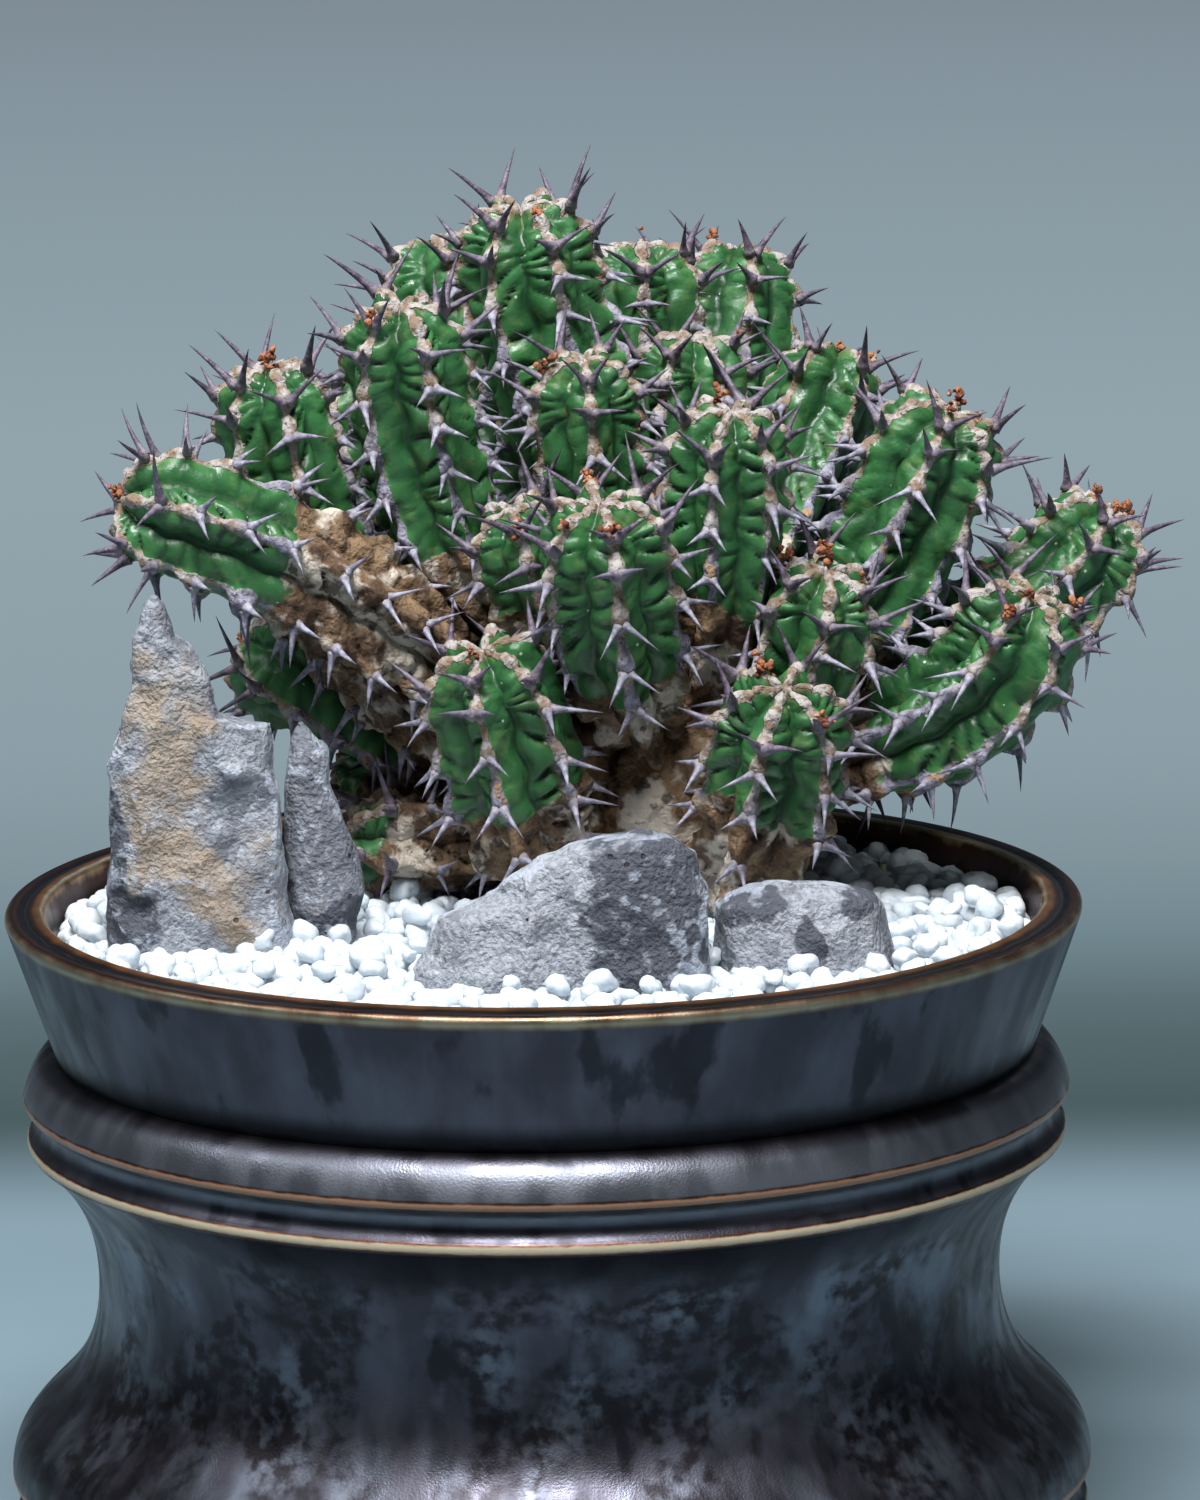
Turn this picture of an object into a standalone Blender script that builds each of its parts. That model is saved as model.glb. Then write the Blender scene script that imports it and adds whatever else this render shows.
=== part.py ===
"""Potted euphorbia: a turned stoneware pot, its planting, four stones and a many-stemmed ribbed plant.

Metres, +Z up, +Y away from the front. The origin is the middle of the pot's flat underside.
"""

import math

import bmesh
import bpy
import numpy as np
from mathutils import Matrix, Vector, noise
from mathutils.bvhtree import BVHTree

MM = 0.001

# Fits
FIT_GAP = 0.35 * MM  # air between two pieces that touch
SEAT_GAP = 0.7 * MM  # between a flat-ended stem and the round trunk that it grows from
SIDES_ROUND_POT = 36  # facets round the pot, and round what fits in it
SIDES_ROUND_TRUNK = 20

# Pot, as a turned profile: radii, and heights above the table
POT_HEIGHT = 101 * MM
RIM_RADIUS = 80 * MM
RIM_WIDTH = 6 * MM
RIM_FALL = 0.3 * MM  # how far the outer edge of the lip lies below the inner one
LIP_BEAD = 1.1 * MM
COLLAR_DEPTH = 21.6 * MM  # from the top of the pot to the foot of the flared collar
COLLAR_FOOT_RADIUS = 73 * MM
BAND_RADIUS = 78 * MM  # the upper band's widest point
BAND_DROP = 6.4 * MM  # from the collar's foot to that point
BAND_BEAD = 1.4 * MM
BAND_PITCH = 6.8 * MM  # between a band's two beads
WAIST_RADIUS = 67.4 * MM
WAIST_HEIGHT = 44.5 * MM
BASE_BAND_RADIUS = 81 * MM
BASE_BAND_HEIGHT = 15.5 * MM
FOOT_RADIUS = 73.5 * MM
FOOT_CHAMFER = 2 * MM
WALL = 5 * MM
FLOOR = 6 * MM
FLOOR_CORNER = 4 * MM  # where the inside turns up from the floor
DRAIN_RADIUS = 4.5 * MM
DRAIN_CIRCLE = 30 * MM
DRAIN_COUNT = 3
DRAIN_SIDES = 12
MESH_RADIUS = 40 * MM  # plastic screen over the drain holes
MESH_THICKNESS = 0.8 * MM

# Planting
GRAVEL_TOP = 3 * MM  # below the top of the pot
GRAVEL_DEPTH = 10 * MM
TRUNK_X = 20 * MM
TRUNK_Y = 24 * MM
TRUNK_RADIUS = 20 * MM
TRUNK_RISE = 12 * MM  # the swelling's centre above the gravel
TRUNK_HALF_HEIGHT = 28 * MM
TRUNK_NECK = 15 * MM  # radius where it goes into the gravel
ROOT_DEPTH = 42 * MM
ROOT_TIP = 6 * MM

# Stems
STEM_RADIUS = 10 * MM
LEAVING_PULL = 0.34  # how far a stem runs straight out of the trunk, as a share of its reach
TIP_PULL = 0.42  # and how far its tip runs straight
STEM_CLEARANCE = 1.2 * MM  # air between two crowded stems
NECK_SHARE = 0.66  # radius at the trunk, as a share of the stem's own
VALLEY_DEPTH = 0.36  # how deep the furrows cut, as a share of the radius
CREST_WIDTH = 2.1 * MM
SHIELD_PITCH = 9.6 * MM  # along a rib, from one pair of spines to the next
SHIELD_LENGTH = 3 * MM  # the horny shield that a pair grows from
BARE_NECK = 15 * MM  # no spines this near the trunk
DOME = 0.95  # height of the rounded tip, in stem radii
SPINE_LENGTH = 8 * MM
SPINE_SPREAD = 0.75  # how far a pair's two spines part
SPINE_DROOP = 0.35  # how far they hang
SPINE_LIFT = 0.4  # and how far the top ones stand up instead
SPINE_CLEARANCE = 0.8 * MM  # from a spine to a stone or the gravel

# Each stem: tip from the trunk's axis at the gravel (x, y, height, in mm), the way the tip points,
# how steeply it leaves the trunk (degrees above level), girth as a share of STEM_RADIUS, ribs.
STEMS = {
    "stem_far_left": ((-83, -24, 64), (-0.92, -0.08, 0.25), 28, 1.0, 6),
    "stem_left": ((-60, -8, 82), (-0.10, -0.06, 0.99), 14, 0.92, 6),
    "stem_left_rear": ((-47, 16, 78), (-0.12, 0.05, 0.99), 40, 0.85, 5),
    "stem_upper_left": ((-40, -13, 92), (-0.02, -0.30, 0.95), 40, 1.0, 6),
    "stem_crown_rear_left": ((-36, 34, 95), (-0.20, 0.20, 0.96), 60, 0.96, 5),
    "stem_crown": ((-22, 5, 104), (-0.05, -0.25, 0.97), 78, 1.08, 6),
    "stem_crown_rear": ((-4, 27, 95), (0.05, 0.10, 0.99), 75, 0.95, 5),
    "stem_crown_rear_right": ((12, 48, 91), (0.12, 0.25, 0.96), 55, 0.92, 5),
    "stem_upper_right": ((4, 12, 83), (0.08, -0.20, 0.97), 80, 0.93, 6),
    "stem_right_rear": ((27, 30, 78), (0.30, 0.12, 0.94), 58, 0.94, 5),
    "stem_centre": ((-13, -11, 83), (-0.02, -0.32, 0.94), 66, 0.88, 5),
    "stem_centre_right": ((9, -19, 76), (0.10, -0.30, 0.94), 55, 0.98, 6),
    "stem_front": ((-11, -33, 65), (-0.05, -0.36, 0.93), 38, 1.08, 6),
    "stem_front_left": ((-29, -30, 43), (-0.32, -0.42, 0.85), -9, 1.06, 6),
    "stem_front_right": ((23, -20, 52), (0.26, -0.40, 0.87), 30, 0.96, 6),
    "stem_low_front": ((16, -38, 38), (0.08, -0.62, 0.78), -10, 1.1, 6),
    "stem_right": ((43, 1, 73), (0.34, -0.22, 0.91), 38, 1.08, 6),
    "stem_far_right_rear": ((68, 20, 54), (0.45, -0.05, 0.89), 26, 1.0, 6),
    "stem_far_right": ((54, -20, 48), (0.12, -0.30, 0.94), 14, 1.05, 6),
    "stem_low_left": ((-66, 12, 37), (-0.85, 0.05, 0.50), 8, 1.05, 5),
    "stem_creeping_left": ((-52, 12, 17), (-0.95, 0.10, 0.20), -6, 0.8, 5),
    "stem_creeping_front": ((-50, -8, 9), (-0.98, -0.12, 0.08), -9, 0.78, 5),
    "stem_inner_left": ((-24, -20, 62), (-0.20, -0.40, 0.90), 45, 0.85, 5),
    "stem_rear_left": ((-40, 48, 60), (-0.45, 0.50, 0.74), 35, 1.0, 5),
    "stem_rear": ((-6, 62, 62), (-0.05, 0.62, 0.78), 35, 1.0, 5),
    "stem_rear_right": ((32, 56, 56), (0.40, 0.55, 0.73), 35, 1.0, 5),
    "stem_low_rear": ((8, 60, 31), (0.10, 0.86, 0.50), 5, 0.95, 5),
    "stem_low_rear_right": ((52, 42, 29), (0.72, 0.45, 0.53), 5, 0.95, 5),
    "stem_low_rear_left": ((-38, 46, 28), (-0.70, 0.55, 0.46), 2, 0.92, 5),
}

# Each stone: foot on the gravel (x, y in mm), turn in degrees, and its sections from the foot up:
# height, sideways shift, half width, half depth, in mm.
STONES = {
    "stone_tall": (
        (-50.8, -12),
        4,
        (
            (0, 0, 14.2, 8),
            (11, 0, 13.4, 7.4),
            (23, -0.4, 12.2, 6.6),
            (31, -1.2, 10.9, 5.6),
            (37, -3.8, 7.2, 4.6),
            (44, -4.9, 4.8, 3.4),
            (50, -5.8, 1.6, 1.4),
        ),
    ),
    "stone_spire": (
        (-31.8, -5),
        -8,
        (
            (0, 0, 6.0, 6),
            (8, -0.4, 6.0, 5.4),
            (16, -1.7, 4.4, 4.2),
            (24, -2.6, 2.9, 2.9),
            (30, -3.4, 1.1, 1.1),
        ),
    ),
    "stone_front": (
        (2.8, -40),
        2,
        (
            (0, 0, 21.7, 8.5),
            (8, 1.6, 19.4, 7.6),
            (12, 5.0, 15.8, 6.8),
            (16, 6.8, 12.6, 5.6),
            (19, 8.8, 8.6, 4.2),
            (20.8, 9.8, 4.2, 2.4),
        ),
    ),
    "stone_low_right": (
        (37.8, -34),
        -6,
        (
            (0, 0, 12.9, 8),
            (5, 0, 12.6, 7.4),
            (8.5, -0.5, 11.4, 6),
            (11.2, -1.2, 7.4, 3.4),
        ),
    ),
}
STONE_SIDES = 12
STONE_ROUGHNESS = 0.14
STONE_LUMP = 9 * MM  # height of one swelling of that roughness
STONE_OFF_WALL = 1.5 * MM

COLOURS = {
    "stoneware": ((0.045, 0.047, 0.058), 0.32, 0.55),
    "screen": ((0.03, 0.03, 0.03), 0.6, 0.0),
    "soil": ((0.06, 0.04, 0.028), 0.95, 0.0),
    "gravel": ((0.82, 0.84, 0.86), 0.45, 0.0),
    "stone": ((0.28, 0.28, 0.30), 0.85, 0.0),
    "bark": ((0.36, 0.26, 0.17), 0.9, 0.0),
    "stem": ((0.05, 0.20, 0.07), 0.45, 0.0),
}


def clear_scene():
    for old in list(bpy.data.objects):
        bpy.data.objects.remove(old)


def collection(name, shown=True):
    made = bpy.data.collections.new(name)
    bpy.context.scene.collection.children.link(made)
    made.hide_render = not shown
    return made


def material(name):
    colour, roughness, metallic = COLOURS[name]
    made = bpy.data.materials.get(name) or bpy.data.materials.new(name)
    made.use_nodes = True
    shader = made.node_tree.nodes["Principled BSDF"]
    shader.inputs["Base Color"].default_value = (*colour, 1)
    shader.inputs["Roughness"].default_value = roughness
    shader.inputs["Metallic"].default_value = metallic
    return made


def place(obj, where, finish=None):
    where.objects.link(obj)
    if finish:
        obj.data.materials.append(material(finish))
    else:
        obj.hide_render = True
        obj.display_type = "WIRE"
    return obj


def shade(obj):
    obj.data.shade_smooth()
    obj.data.set_sharp_from_angle(angle=math.radians(35))


def arc(centre, radius, start, end, steps):
    """Points of an arc in the profile's plane, from one angle to another, in degrees."""
    angles = [math.radians(start + (end - start) * i / steps) for i in range(steps + 1)]
    return [(centre[0] + radius * math.cos(a), centre[1] + radius * math.sin(a)) for a in angles]


def curve(a, b, c, d, steps):
    """Points of a Bezier stretch, without its last point."""
    points = []
    for i in range(steps):
        t = i / steps
        u = 1 - t
        w = (u * u * u, 3 * u * u * t, 3 * u * t * t, t * t * t)
        points.append(tuple(sum(k * p[n] for k, p in zip(w, (a, b, c, d))) for n in (0, 1)))
    return points


def turned(name, profile, sides, where, finish=None, at=(0, 0)):
    """A solid turned round Z from a profile that runs up any inside and down the outside, axis to axis."""
    mesh = bpy.data.meshes.new(name)
    edges = [(i, i + 1) for i in range(len(profile) - 1)]
    mesh.from_pydata([(r, 0, z) for r, z in profile], edges, [])
    obj = place(bpy.data.objects.new(name, mesh), where, finish)
    obj.location = (*at, 0)
    screw = obj.modifiers.new("turn", "SCREW")
    screw.steps = screw.render_steps = sides
    screw.use_merge_vertices = True
    screw.merge_threshold = 0.00001
    screw.use_smooth_shade = True
    return obj


def cut(obj, cutter):
    boolean = obj.modifiers.new("cut by " + cutter.name, "BOOLEAN")
    boolean.operation = "DIFFERENCE"
    boolean.object = cutter


def collar_foot_height():
    return POT_HEIGHT - COLLAR_DEPTH


def outer_profile():
    """The pot's outside, from the lip's inner bead down to the edge of the foot."""
    lip_inner = (RIM_RADIUS - RIM_WIDTH + LIP_BEAD, POT_HEIGHT - LIP_BEAD)
    lip_outer = (RIM_RADIUS - LIP_BEAD, POT_HEIGHT - RIM_FALL - LIP_BEAD)
    groove = ((lip_inner[0] + lip_outer[0]) / 2, (lip_inner[1] + lip_outer[1]) / 2 + LIP_BEAD * 0.4)
    lip = arc(lip_inner, LIP_BEAD, 180, 70, 2) + [groove] + arc(lip_outer, LIP_BEAD, 90, -20, 2)

    foot = collar_foot_height()
    band = foot - BAND_DROP
    shoulder = curve(
        (COLLAR_FOOT_RADIUS, foot),
        (COLLAR_FOOT_RADIUS + 2.4 * MM, foot - 0.3 * MM),
        (BAND_RADIUS - 0.8 * MM, band + 3 * MM),
        (BAND_RADIUS, band),
        2,
    )
    beads = double_bead(BAND_RADIUS, band)
    under = beads[-1]
    waist = (WAIST_RADIUS, WAIST_HEIGHT)
    neck = under[1] - WAIST_HEIGHT
    upper_waist = curve(
        under,
        (under[0] - 5 * MM, under[1] - 0.2 * neck),
        (WAIST_RADIUS, WAIST_HEIGHT + 0.5 * neck),
        waist,
        3,
    )[1:]
    base = (BASE_BAND_RADIUS, BASE_BAND_HEIGHT)
    flare = WAIST_HEIGHT - BASE_BAND_HEIGHT
    lower_waist = curve(
        waist,
        (WAIST_RADIUS, WAIST_HEIGHT - 0.65 * flare),
        (BASE_BAND_RADIUS, BASE_BAND_HEIGHT + 0.4 * flare),
        base,
        4,
    )
    base_beads = double_bead(*base)
    foot_edge = [(FOOT_RADIUS + FOOT_CHAMFER / 2, FOOT_CHAMFER), (FOOT_RADIUS, 0)]
    return lip + shoulder + beads + upper_waist + lower_waist + base_beads + foot_edge


def double_bead(radius, height):
    """A soft upper bead, a groove and a lower bead, from the widest point down."""
    low = (radius - BAND_BEAD - 0.5 * MM, height - BAND_PITCH)
    return [
        (radius, height),
        (radius - 0.4 * MM, height - BAND_PITCH * 0.25),
        (radius - 1.6 * MM, height - BAND_PITCH * 0.55),
    ] + arc(low, BAND_BEAD, 55, -65, 2)


def outer_radius(height):
    """The radius of the pot's outside at a height."""
    outside = outer_profile()[::-1]
    return float(np.interp(height, [z for _, z in outside], [r for r, _ in outside]))


def inner_wall():
    """The pot's inside, from the floor's edge up to the lip: one wall in from the outside's main turns."""
    middle_of_flare = (WAIST_HEIGHT + BASE_BAND_HEIGHT) / 2
    turns = (FLOOR + FLOOR_CORNER, BASE_BAND_HEIGHT, middle_of_flare, WAIST_HEIGHT, collar_foot_height())
    wall = [(outer_radius(z) - WALL, z) for z in turns]
    floor_edge = (wall[0][0] - FLOOR_CORNER, FLOOR)
    lip_edge = (RIM_RADIUS - RIM_WIDTH, POT_HEIGHT - 2 * LIP_BEAD)
    return [floor_edge, *wall, lip_edge]


def inner_radius(height):
    """The radius of the pot's inside at a height."""
    wall = inner_wall()
    return float(np.interp(height, [z for _, z in wall], [r for r, _ in wall]))


def fill_profile(bottom, top):
    """The outline of what fills the pot between two heights, clear of the wall, from axis to axis."""
    turns = [z for _, z in inner_wall() if bottom < z < top]
    side = [(inner_radius(z) - FIT_GAP, z) for z in [top, *reversed(turns), bottom]]
    return [(0, top), *side, (0, bottom)]


def make_pot(parts, cutters):
    profile = [(0, FLOOR), *inner_wall(), *outer_profile(), (0, 0)]
    pot = turned("pot", profile, SIDES_ROUND_POT, parts, "stoneware")
    for i in range(DRAIN_COUNT):
        turn = 2 * math.pi * (i + 0.5) / DRAIN_COUNT
        mesh = bpy.data.meshes.new("drain_drill")
        bm = bmesh.new()
        bmesh.ops.create_cone(
            bm,
            cap_ends=True,
            segments=DRAIN_SIDES,
            radius1=DRAIN_RADIUS,
            radius2=DRAIN_RADIUS,
            depth=FLOOR * 3,
        )
        bm.to_mesh(mesh)
        bm.free()
        drill = place(bpy.data.objects.new(f"drain_drill_{i + 1}", mesh), cutters)
        drill.location = (DRAIN_CIRCLE * math.cos(turn), DRAIN_CIRCLE * math.sin(turn), FLOOR / 2)
        cut(pot, drill)


def make_screen(parts):
    base = FLOOR + FIT_GAP
    top = base + MESH_THICKNESS
    profile = [(0, top), (MESH_RADIUS, top), (MESH_RADIUS, base), (0, base)]
    turned("drain_screen", profile, SIDES_ROUND_POT, parts, "screen")


def gravel_height():
    return POT_HEIGHT - GRAVEL_TOP


def trunk_centre():
    return np.array((TRUNK_X, TRUNK_Y, gravel_height() + TRUNK_RISE))


def trunk_profile(extra=0.0):
    """The swollen trunk and its root, from the top of the trunk down, grown by extra all round."""
    rise = trunk_centre()[2]
    level = gravel_height()
    waist_angle = math.degrees(math.asin(-(rise - level) / TRUNK_HALF_HEIGHT * 0.82))
    swelling = [
        ((TRUNK_RADIUS + extra) * x, rise + (TRUNK_HALF_HEIGHT + extra) * z)
        for x, z in arc((0, 0), 1, 90, waist_angle, 7)
    ]
    swelling[0] = (0, swelling[0][1])
    root = [
        (TRUNK_NECK + extra, level - 2 * MM),
        (TRUNK_NECK * 0.85 + extra, level - ROOT_DEPTH * 0.4),
        (ROOT_TIP + extra, level - ROOT_DEPTH - extra),
        (0, level - ROOT_DEPTH - extra),
    ]
    return swelling + root


def make_planting(parts, cutters):
    at = (TRUNK_X, TRUNK_Y)
    socket = turned("trunk_socket", trunk_profile(FIT_GAP), SIDES_ROUND_TRUNK, cutters, at=at)
    gravel_base = gravel_height() - GRAVEL_DEPTH
    soil_base = FLOOR + MESH_THICKNESS + 2 * FIT_GAP
    soil = turned("soil", fill_profile(soil_base, gravel_base - FIT_GAP), SIDES_ROUND_POT, parts, "soil")
    gravel = turned("gravel", fill_profile(gravel_base, gravel_height()), SIDES_ROUND_POT, parts, "gravel")
    cut(soil, socket)
    cut(gravel, socket)
    turned("trunk", trunk_profile(), SIDES_ROUND_TRUNK, parts, "bark", at=at)


def trunk_half_size():
    """The swelling's half sizes along X, Y and Z, with the gap that the stems seat at."""
    return np.array((TRUNK_RADIUS, TRUNK_RADIUS, TRUNK_HALF_HEIGHT)) + SEAT_GAP


def unit(v):
    return np.asarray(v, float) / np.linalg.norm(v)


def stem_path(tip, heading, leaving, steps=28):
    """Points from the trunk's surface to the stem's tip: out of the trunk, then round to its heading."""
    end = np.array((TRUNK_X, TRUNK_Y, gravel_height())) + np.array(tip) * MM
    level = unit((tip[0], tip[1], 0))
    out = level * math.cos(math.radians(leaving)) + np.array((0, 0, math.sin(math.radians(leaving))))
    start = trunk_centre() + out * trunk_half_size()
    reach = np.linalg.norm(end - start)
    a = start + out * reach * LEAVING_PULL
    b = end - unit(heading) * reach * TIP_PULL
    t = np.linspace(0, 1, steps)[:, None]
    return (1 - t) ** 3 * start + 3 * (1 - t) ** 2 * t * a + 3 * (1 - t) * t**2 * b + t**3 * end


def along(path, distances):
    """Points at given distances along a path, and the unit tangents there."""
    steps = np.linalg.norm(np.diff(path, axis=0), axis=1)
    travelled = np.concatenate([[0], np.cumsum(steps)])
    at = np.clip(distances, 0, travelled[-1])
    points = np.stack([np.interp(at, travelled, path[:, n]) for n in range(3)], axis=1)
    slopes = np.gradient(path, travelled, axis=0)
    tangents = np.stack([np.interp(at, travelled, slopes[:, n]) for n in range(3)], axis=1)
    return points, tangents / np.linalg.norm(tangents, axis=1)[:, None]


def length_of(path):
    return float(np.linalg.norm(np.diff(path, axis=0), axis=1).sum())


def girth_at(distance, length, radius):
    """A stem's radius over its ribs: a neck at the trunk, full for most of its length, and a domed tip."""
    swell = np.clip(distance / (0.5 * length), 0, 1)
    body = radius * (NECK_SHARE + (1 - NECK_SHARE) * swell * swell * (3 - 2 * swell))
    dome = DOME * radius
    over = np.clip((distance - (length - dome)) / dome, 0, 1)
    return body * np.sqrt(np.clip(1 - over * over, 0, 1))


def room(centres, directions, others):
    """How far a point may go from each centre before it is as near to another stem's axis as to its own."""
    best = np.full(len(centres), np.inf)
    for point in others:
        d = centres - point
        toward = STEM_CLEARANCE - 2 * (d * directions).sum(1)
        far = ((d * d).sum(1) - STEM_CLEARANCE**2 / 4) / np.maximum(toward, 1e-9)
        best = np.where(toward > 0, np.minimum(best, far), best)
    return best


def off_trunk(points):
    """Points inside the trunk's seat, moved out to it."""
    inside = np.linalg.norm((points - trunk_centre()) / trunk_half_size(), axis=1)[:, None]
    return trunk_centre() + (points - trunk_centre()) / np.minimum(inside, 1)


def ring_places(length, dome):
    """Distances of a stem's rings from its foot, and which of them are the lower ends of shields."""
    top = length - 0.7 * dome
    places, shields = [0], []
    for middle in reversed(np.arange(top, 1.5 * SHIELD_LENGTH, -SHIELD_PITCH)):
        if middle > BARE_NECK:
            shields.append(len(places))
            places += [middle - SHIELD_LENGTH / 2, middle + SHIELD_LENGTH / 2]
        else:
            places.append(middle)
    return places + [length - 0.12 * dome], shields


def stem_rings(path, radius, ribs, places, others):
    """Rings of points along a stem, three to a rib: its furrow and its crest's edges."""
    length = length_of(path)
    centres, tangents = along(path, places)
    side = unit(np.cross(tangents[0], (0.1, 0.2, 1)))
    rings = []
    for place_along, centre, tangent in zip(places, centres, tangents):
        side = unit(side - tangent * (side @ tangent))
        up = np.cross(tangent, side)
        girth = girth_at(place_along, length, radius)
        half_crest = min(CREST_WIDTH / 2 / girth, 0.6 * math.pi / ribs)
        angles, reaches = [], []
        for rib in range(ribs):
            middle = 2 * math.pi * rib / ribs
            angles += [middle - math.pi / ribs, middle - half_crest, middle + half_crest]
            reaches += [girth * (1 - VALLEY_DEPTH), girth, girth]
        directions = np.outer(np.cos(angles), side) + np.outer(np.sin(angles), up)
        allowed = room(np.repeat(centre[None], len(angles), 0), directions, others)
        reach = np.minimum(reaches, allowed)
        ring = centre + directions * reach[:, None]
        ring[:, 2] = np.maximum(ring[:, 2], gravel_height() + FIT_GAP)
        rings.append(ring)
    rings[0] = off_trunk(rings[0])
    rings[1] = off_trunk(rings[1])
    return rings, centres, tangents


def spine_tip(base, direction, own, others, stones):
    """A spine's tip: its full length, or less where something is in its way."""
    for share in (1, 0.8, 0.6, 0.45, 0.3, 0.15):
        reach = SPINE_LENGTH * share
        tip = base + direction * reach
        in_own_space = np.linalg.norm(own - tip, axis=1).min() + STEM_CLEARANCE / 2 < (
            np.linalg.norm(others - tip, axis=1).min()
        )
        above_gravel = tip[2] > gravel_height() + SPINE_CLEARANCE
        off_seat = np.linalg.norm((tip - trunk_centre()) / trunk_half_size()) > 1
        off_stones = all(
            tree.find_nearest(Vector(tip))[3] > SPINE_CLEARANCE
            and tree.ray_cast(Vector(base), Vector(direction), reach)[0] is None
            for tree in stones
        )
        if in_own_space and above_gravel and off_seat and off_stones:
            return tip
    return None


def pair_of_tips(corners, centre, tangent, lift, own, others, stones):
    """The two tips of a shield's spines, or nothing where there is no room for both."""
    base = np.array([v.co for v in corners]).mean(0)
    outward = unit(base - centre)
    sideways = np.cross(tangent, outward)
    tips = []
    for way in (-1, 1):
        lean = unit(outward + way * SPINE_SPREAD * sideways + lift * tangent)
        tips.append(spine_tip(base, lean, own, others, stones))
    return tips if all(tip is not None for tip in tips) else []


def build_stem(name, path, radius, ribs, others, stones, parts):
    """A ribbed stem with a pair of spines on each shield."""
    length = length_of(path)
    places, shields = ring_places(length, DOME * radius)
    rings, centres, tangents = stem_rings(path, radius, ribs, places, others)
    own = along(path, np.linspace(0, length, 40))[0]
    bm = bmesh.new()
    verts = [[bm.verts.new(p) for p in ring] for ring in rings]
    count = len(verts[0])
    foot = bm.verts.new(off_trunk(rings[0].mean(0)[None])[0])
    apex = bm.verts.new(path[-1])
    for i in range(count):
        j = (i + 1) % count
        bm.faces.new((verts[0][j], verts[0][i], foot))
        bm.faces.new((verts[-1][i], verts[-1][j], apex))
    for k in range(len(verts) - 1):
        lift = SPINE_LIFT if k == shields[-1] else -SPINE_DROOP
        for i in range(count):
            j = (i + 1) % count
            corners = (verts[k][i], verts[k][j], verts[k + 1][j], verts[k + 1][i])
            tips = []
            if k in shields and i % 3 == 1:
                tips = pair_of_tips(corners, centres[k], tangents[k], lift, own, others, stones)
            if not tips:
                bm.faces.new(corners)
                continue
            halves = ((corners[0], corners[2], corners[3]), corners[:3])
            for half, tip in zip(halves, tips):
                point = bm.verts.new(tip)
                for a, b in zip(half, half[1:] + half[:1]):
                    bm.faces.new((a, b, point))
    mesh = bpy.data.meshes.new(name)
    bmesh.ops.recalc_face_normals(bm, faces=bm.faces)
    bm.to_mesh(mesh)
    bm.free()
    shade(place(bpy.data.objects.new(name, mesh), parts, "stem"))


def stem_paths():
    return {name: stem_path(*course[:3]) for name, course in STEMS.items()}


def make_stems(parts, paths, stones):
    """Every stem, each kept to its own share of the space between its neighbours."""
    for name, (_, _, _, girth, ribs) in STEMS.items():
        others = np.concatenate([p for other, p in paths.items() if other != name])
        build_stem(name, paths[name], STEM_RADIUS * girth, ribs, others, stones, parts)


def clear_of_stems(centre, direction, reach, paths):
    """A reach from a stone's axis, stopped short of any stem."""
    for name, path in paths.items():
        keep_off = STEM_RADIUS * STEMS[name][3] + STEM_CLEARANCE
        d = centre - path
        along_ray = d @ direction
        hit = along_ray**2 - ((d * d).sum(1) - keep_off**2)
        entry = -along_ray[hit > 0] - np.sqrt(hit[hit > 0])
        entry = entry[entry > 0]
        if len(entry):
            reach = min(reach, max(entry.min(), 0.2 * MM))
    return reach


def make_stone(name, foot, turn, sections, paths, parts):
    """A stone lofted through uneven sections, standing on the gravel; returns a tree of its surface."""
    bm = bmesh.new()
    spin = Matrix.Rotation(math.radians(turn), 4, "Z")
    base = Vector((foot[0] * MM, foot[1] * MM, gravel_height() + FIT_GAP))
    wall = inner_radius(gravel_height()) - STONE_OFF_WALL
    seed = sum(ord(c) for c in name)
    rings = []
    for height, shift, half_width, half_depth in sections:
        middle = base + spin @ Vector((shift * MM, 0, height * MM))
        ring = []
        for i in range(STONE_SIDES):
            a = 2 * math.pi * i / STONE_SIDES
            way = spin @ Vector((math.cos(a), math.sin(a), 0))
            lump = Vector((way.x * 2, way.y * 2, height * MM / STONE_LUMP + seed))
            rough = 1 + STONE_ROUGHNESS * noise.noise(lump)
            half = Vector((half_width * math.cos(a), half_depth * math.sin(a))).length * MM
            reach = clear_of_stems(np.array(middle), np.array(way), half * rough, paths)
            point = middle + way * reach
            flat = Vector((point.x, point.y))
            if flat.length > wall:
                flat *= wall / flat.length
            ring.append(bm.verts.new((flat.x, flat.y, point.z)))
        rings.append(ring)
    for low, high in zip(rings, rings[1:]):
        for i in range(STONE_SIDES):
            j = (i + 1) % STONE_SIDES
            bm.faces.new((low[i], low[j], high[j], high[i]))
    bm.faces.new(list(reversed(rings[0])))
    bm.faces.new(rings[-1])
    tree = BVHTree.FromBMesh(bm)
    mesh = bpy.data.meshes.new(name)
    bm.to_mesh(mesh)
    bm.free()
    shade(place(bpy.data.objects.new(name, mesh), parts, "stone"))
    return tree


def main():
    clear_scene()
    parts = collection("potted_euphorbia")
    cutters = collection("cutters", shown=False)
    make_pot(parts, cutters)
    make_screen(parts)
    make_planting(parts, cutters)
    paths = stem_paths()
    stones = [make_stone(name, *shape, paths, parts) for name, shape in STONES.items()]
    make_stems(parts, paths, stones)


main()
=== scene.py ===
import math

import bmesh
import bpy
import numpy as np
from mathutils import Matrix, Quaternion, Vector


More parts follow.
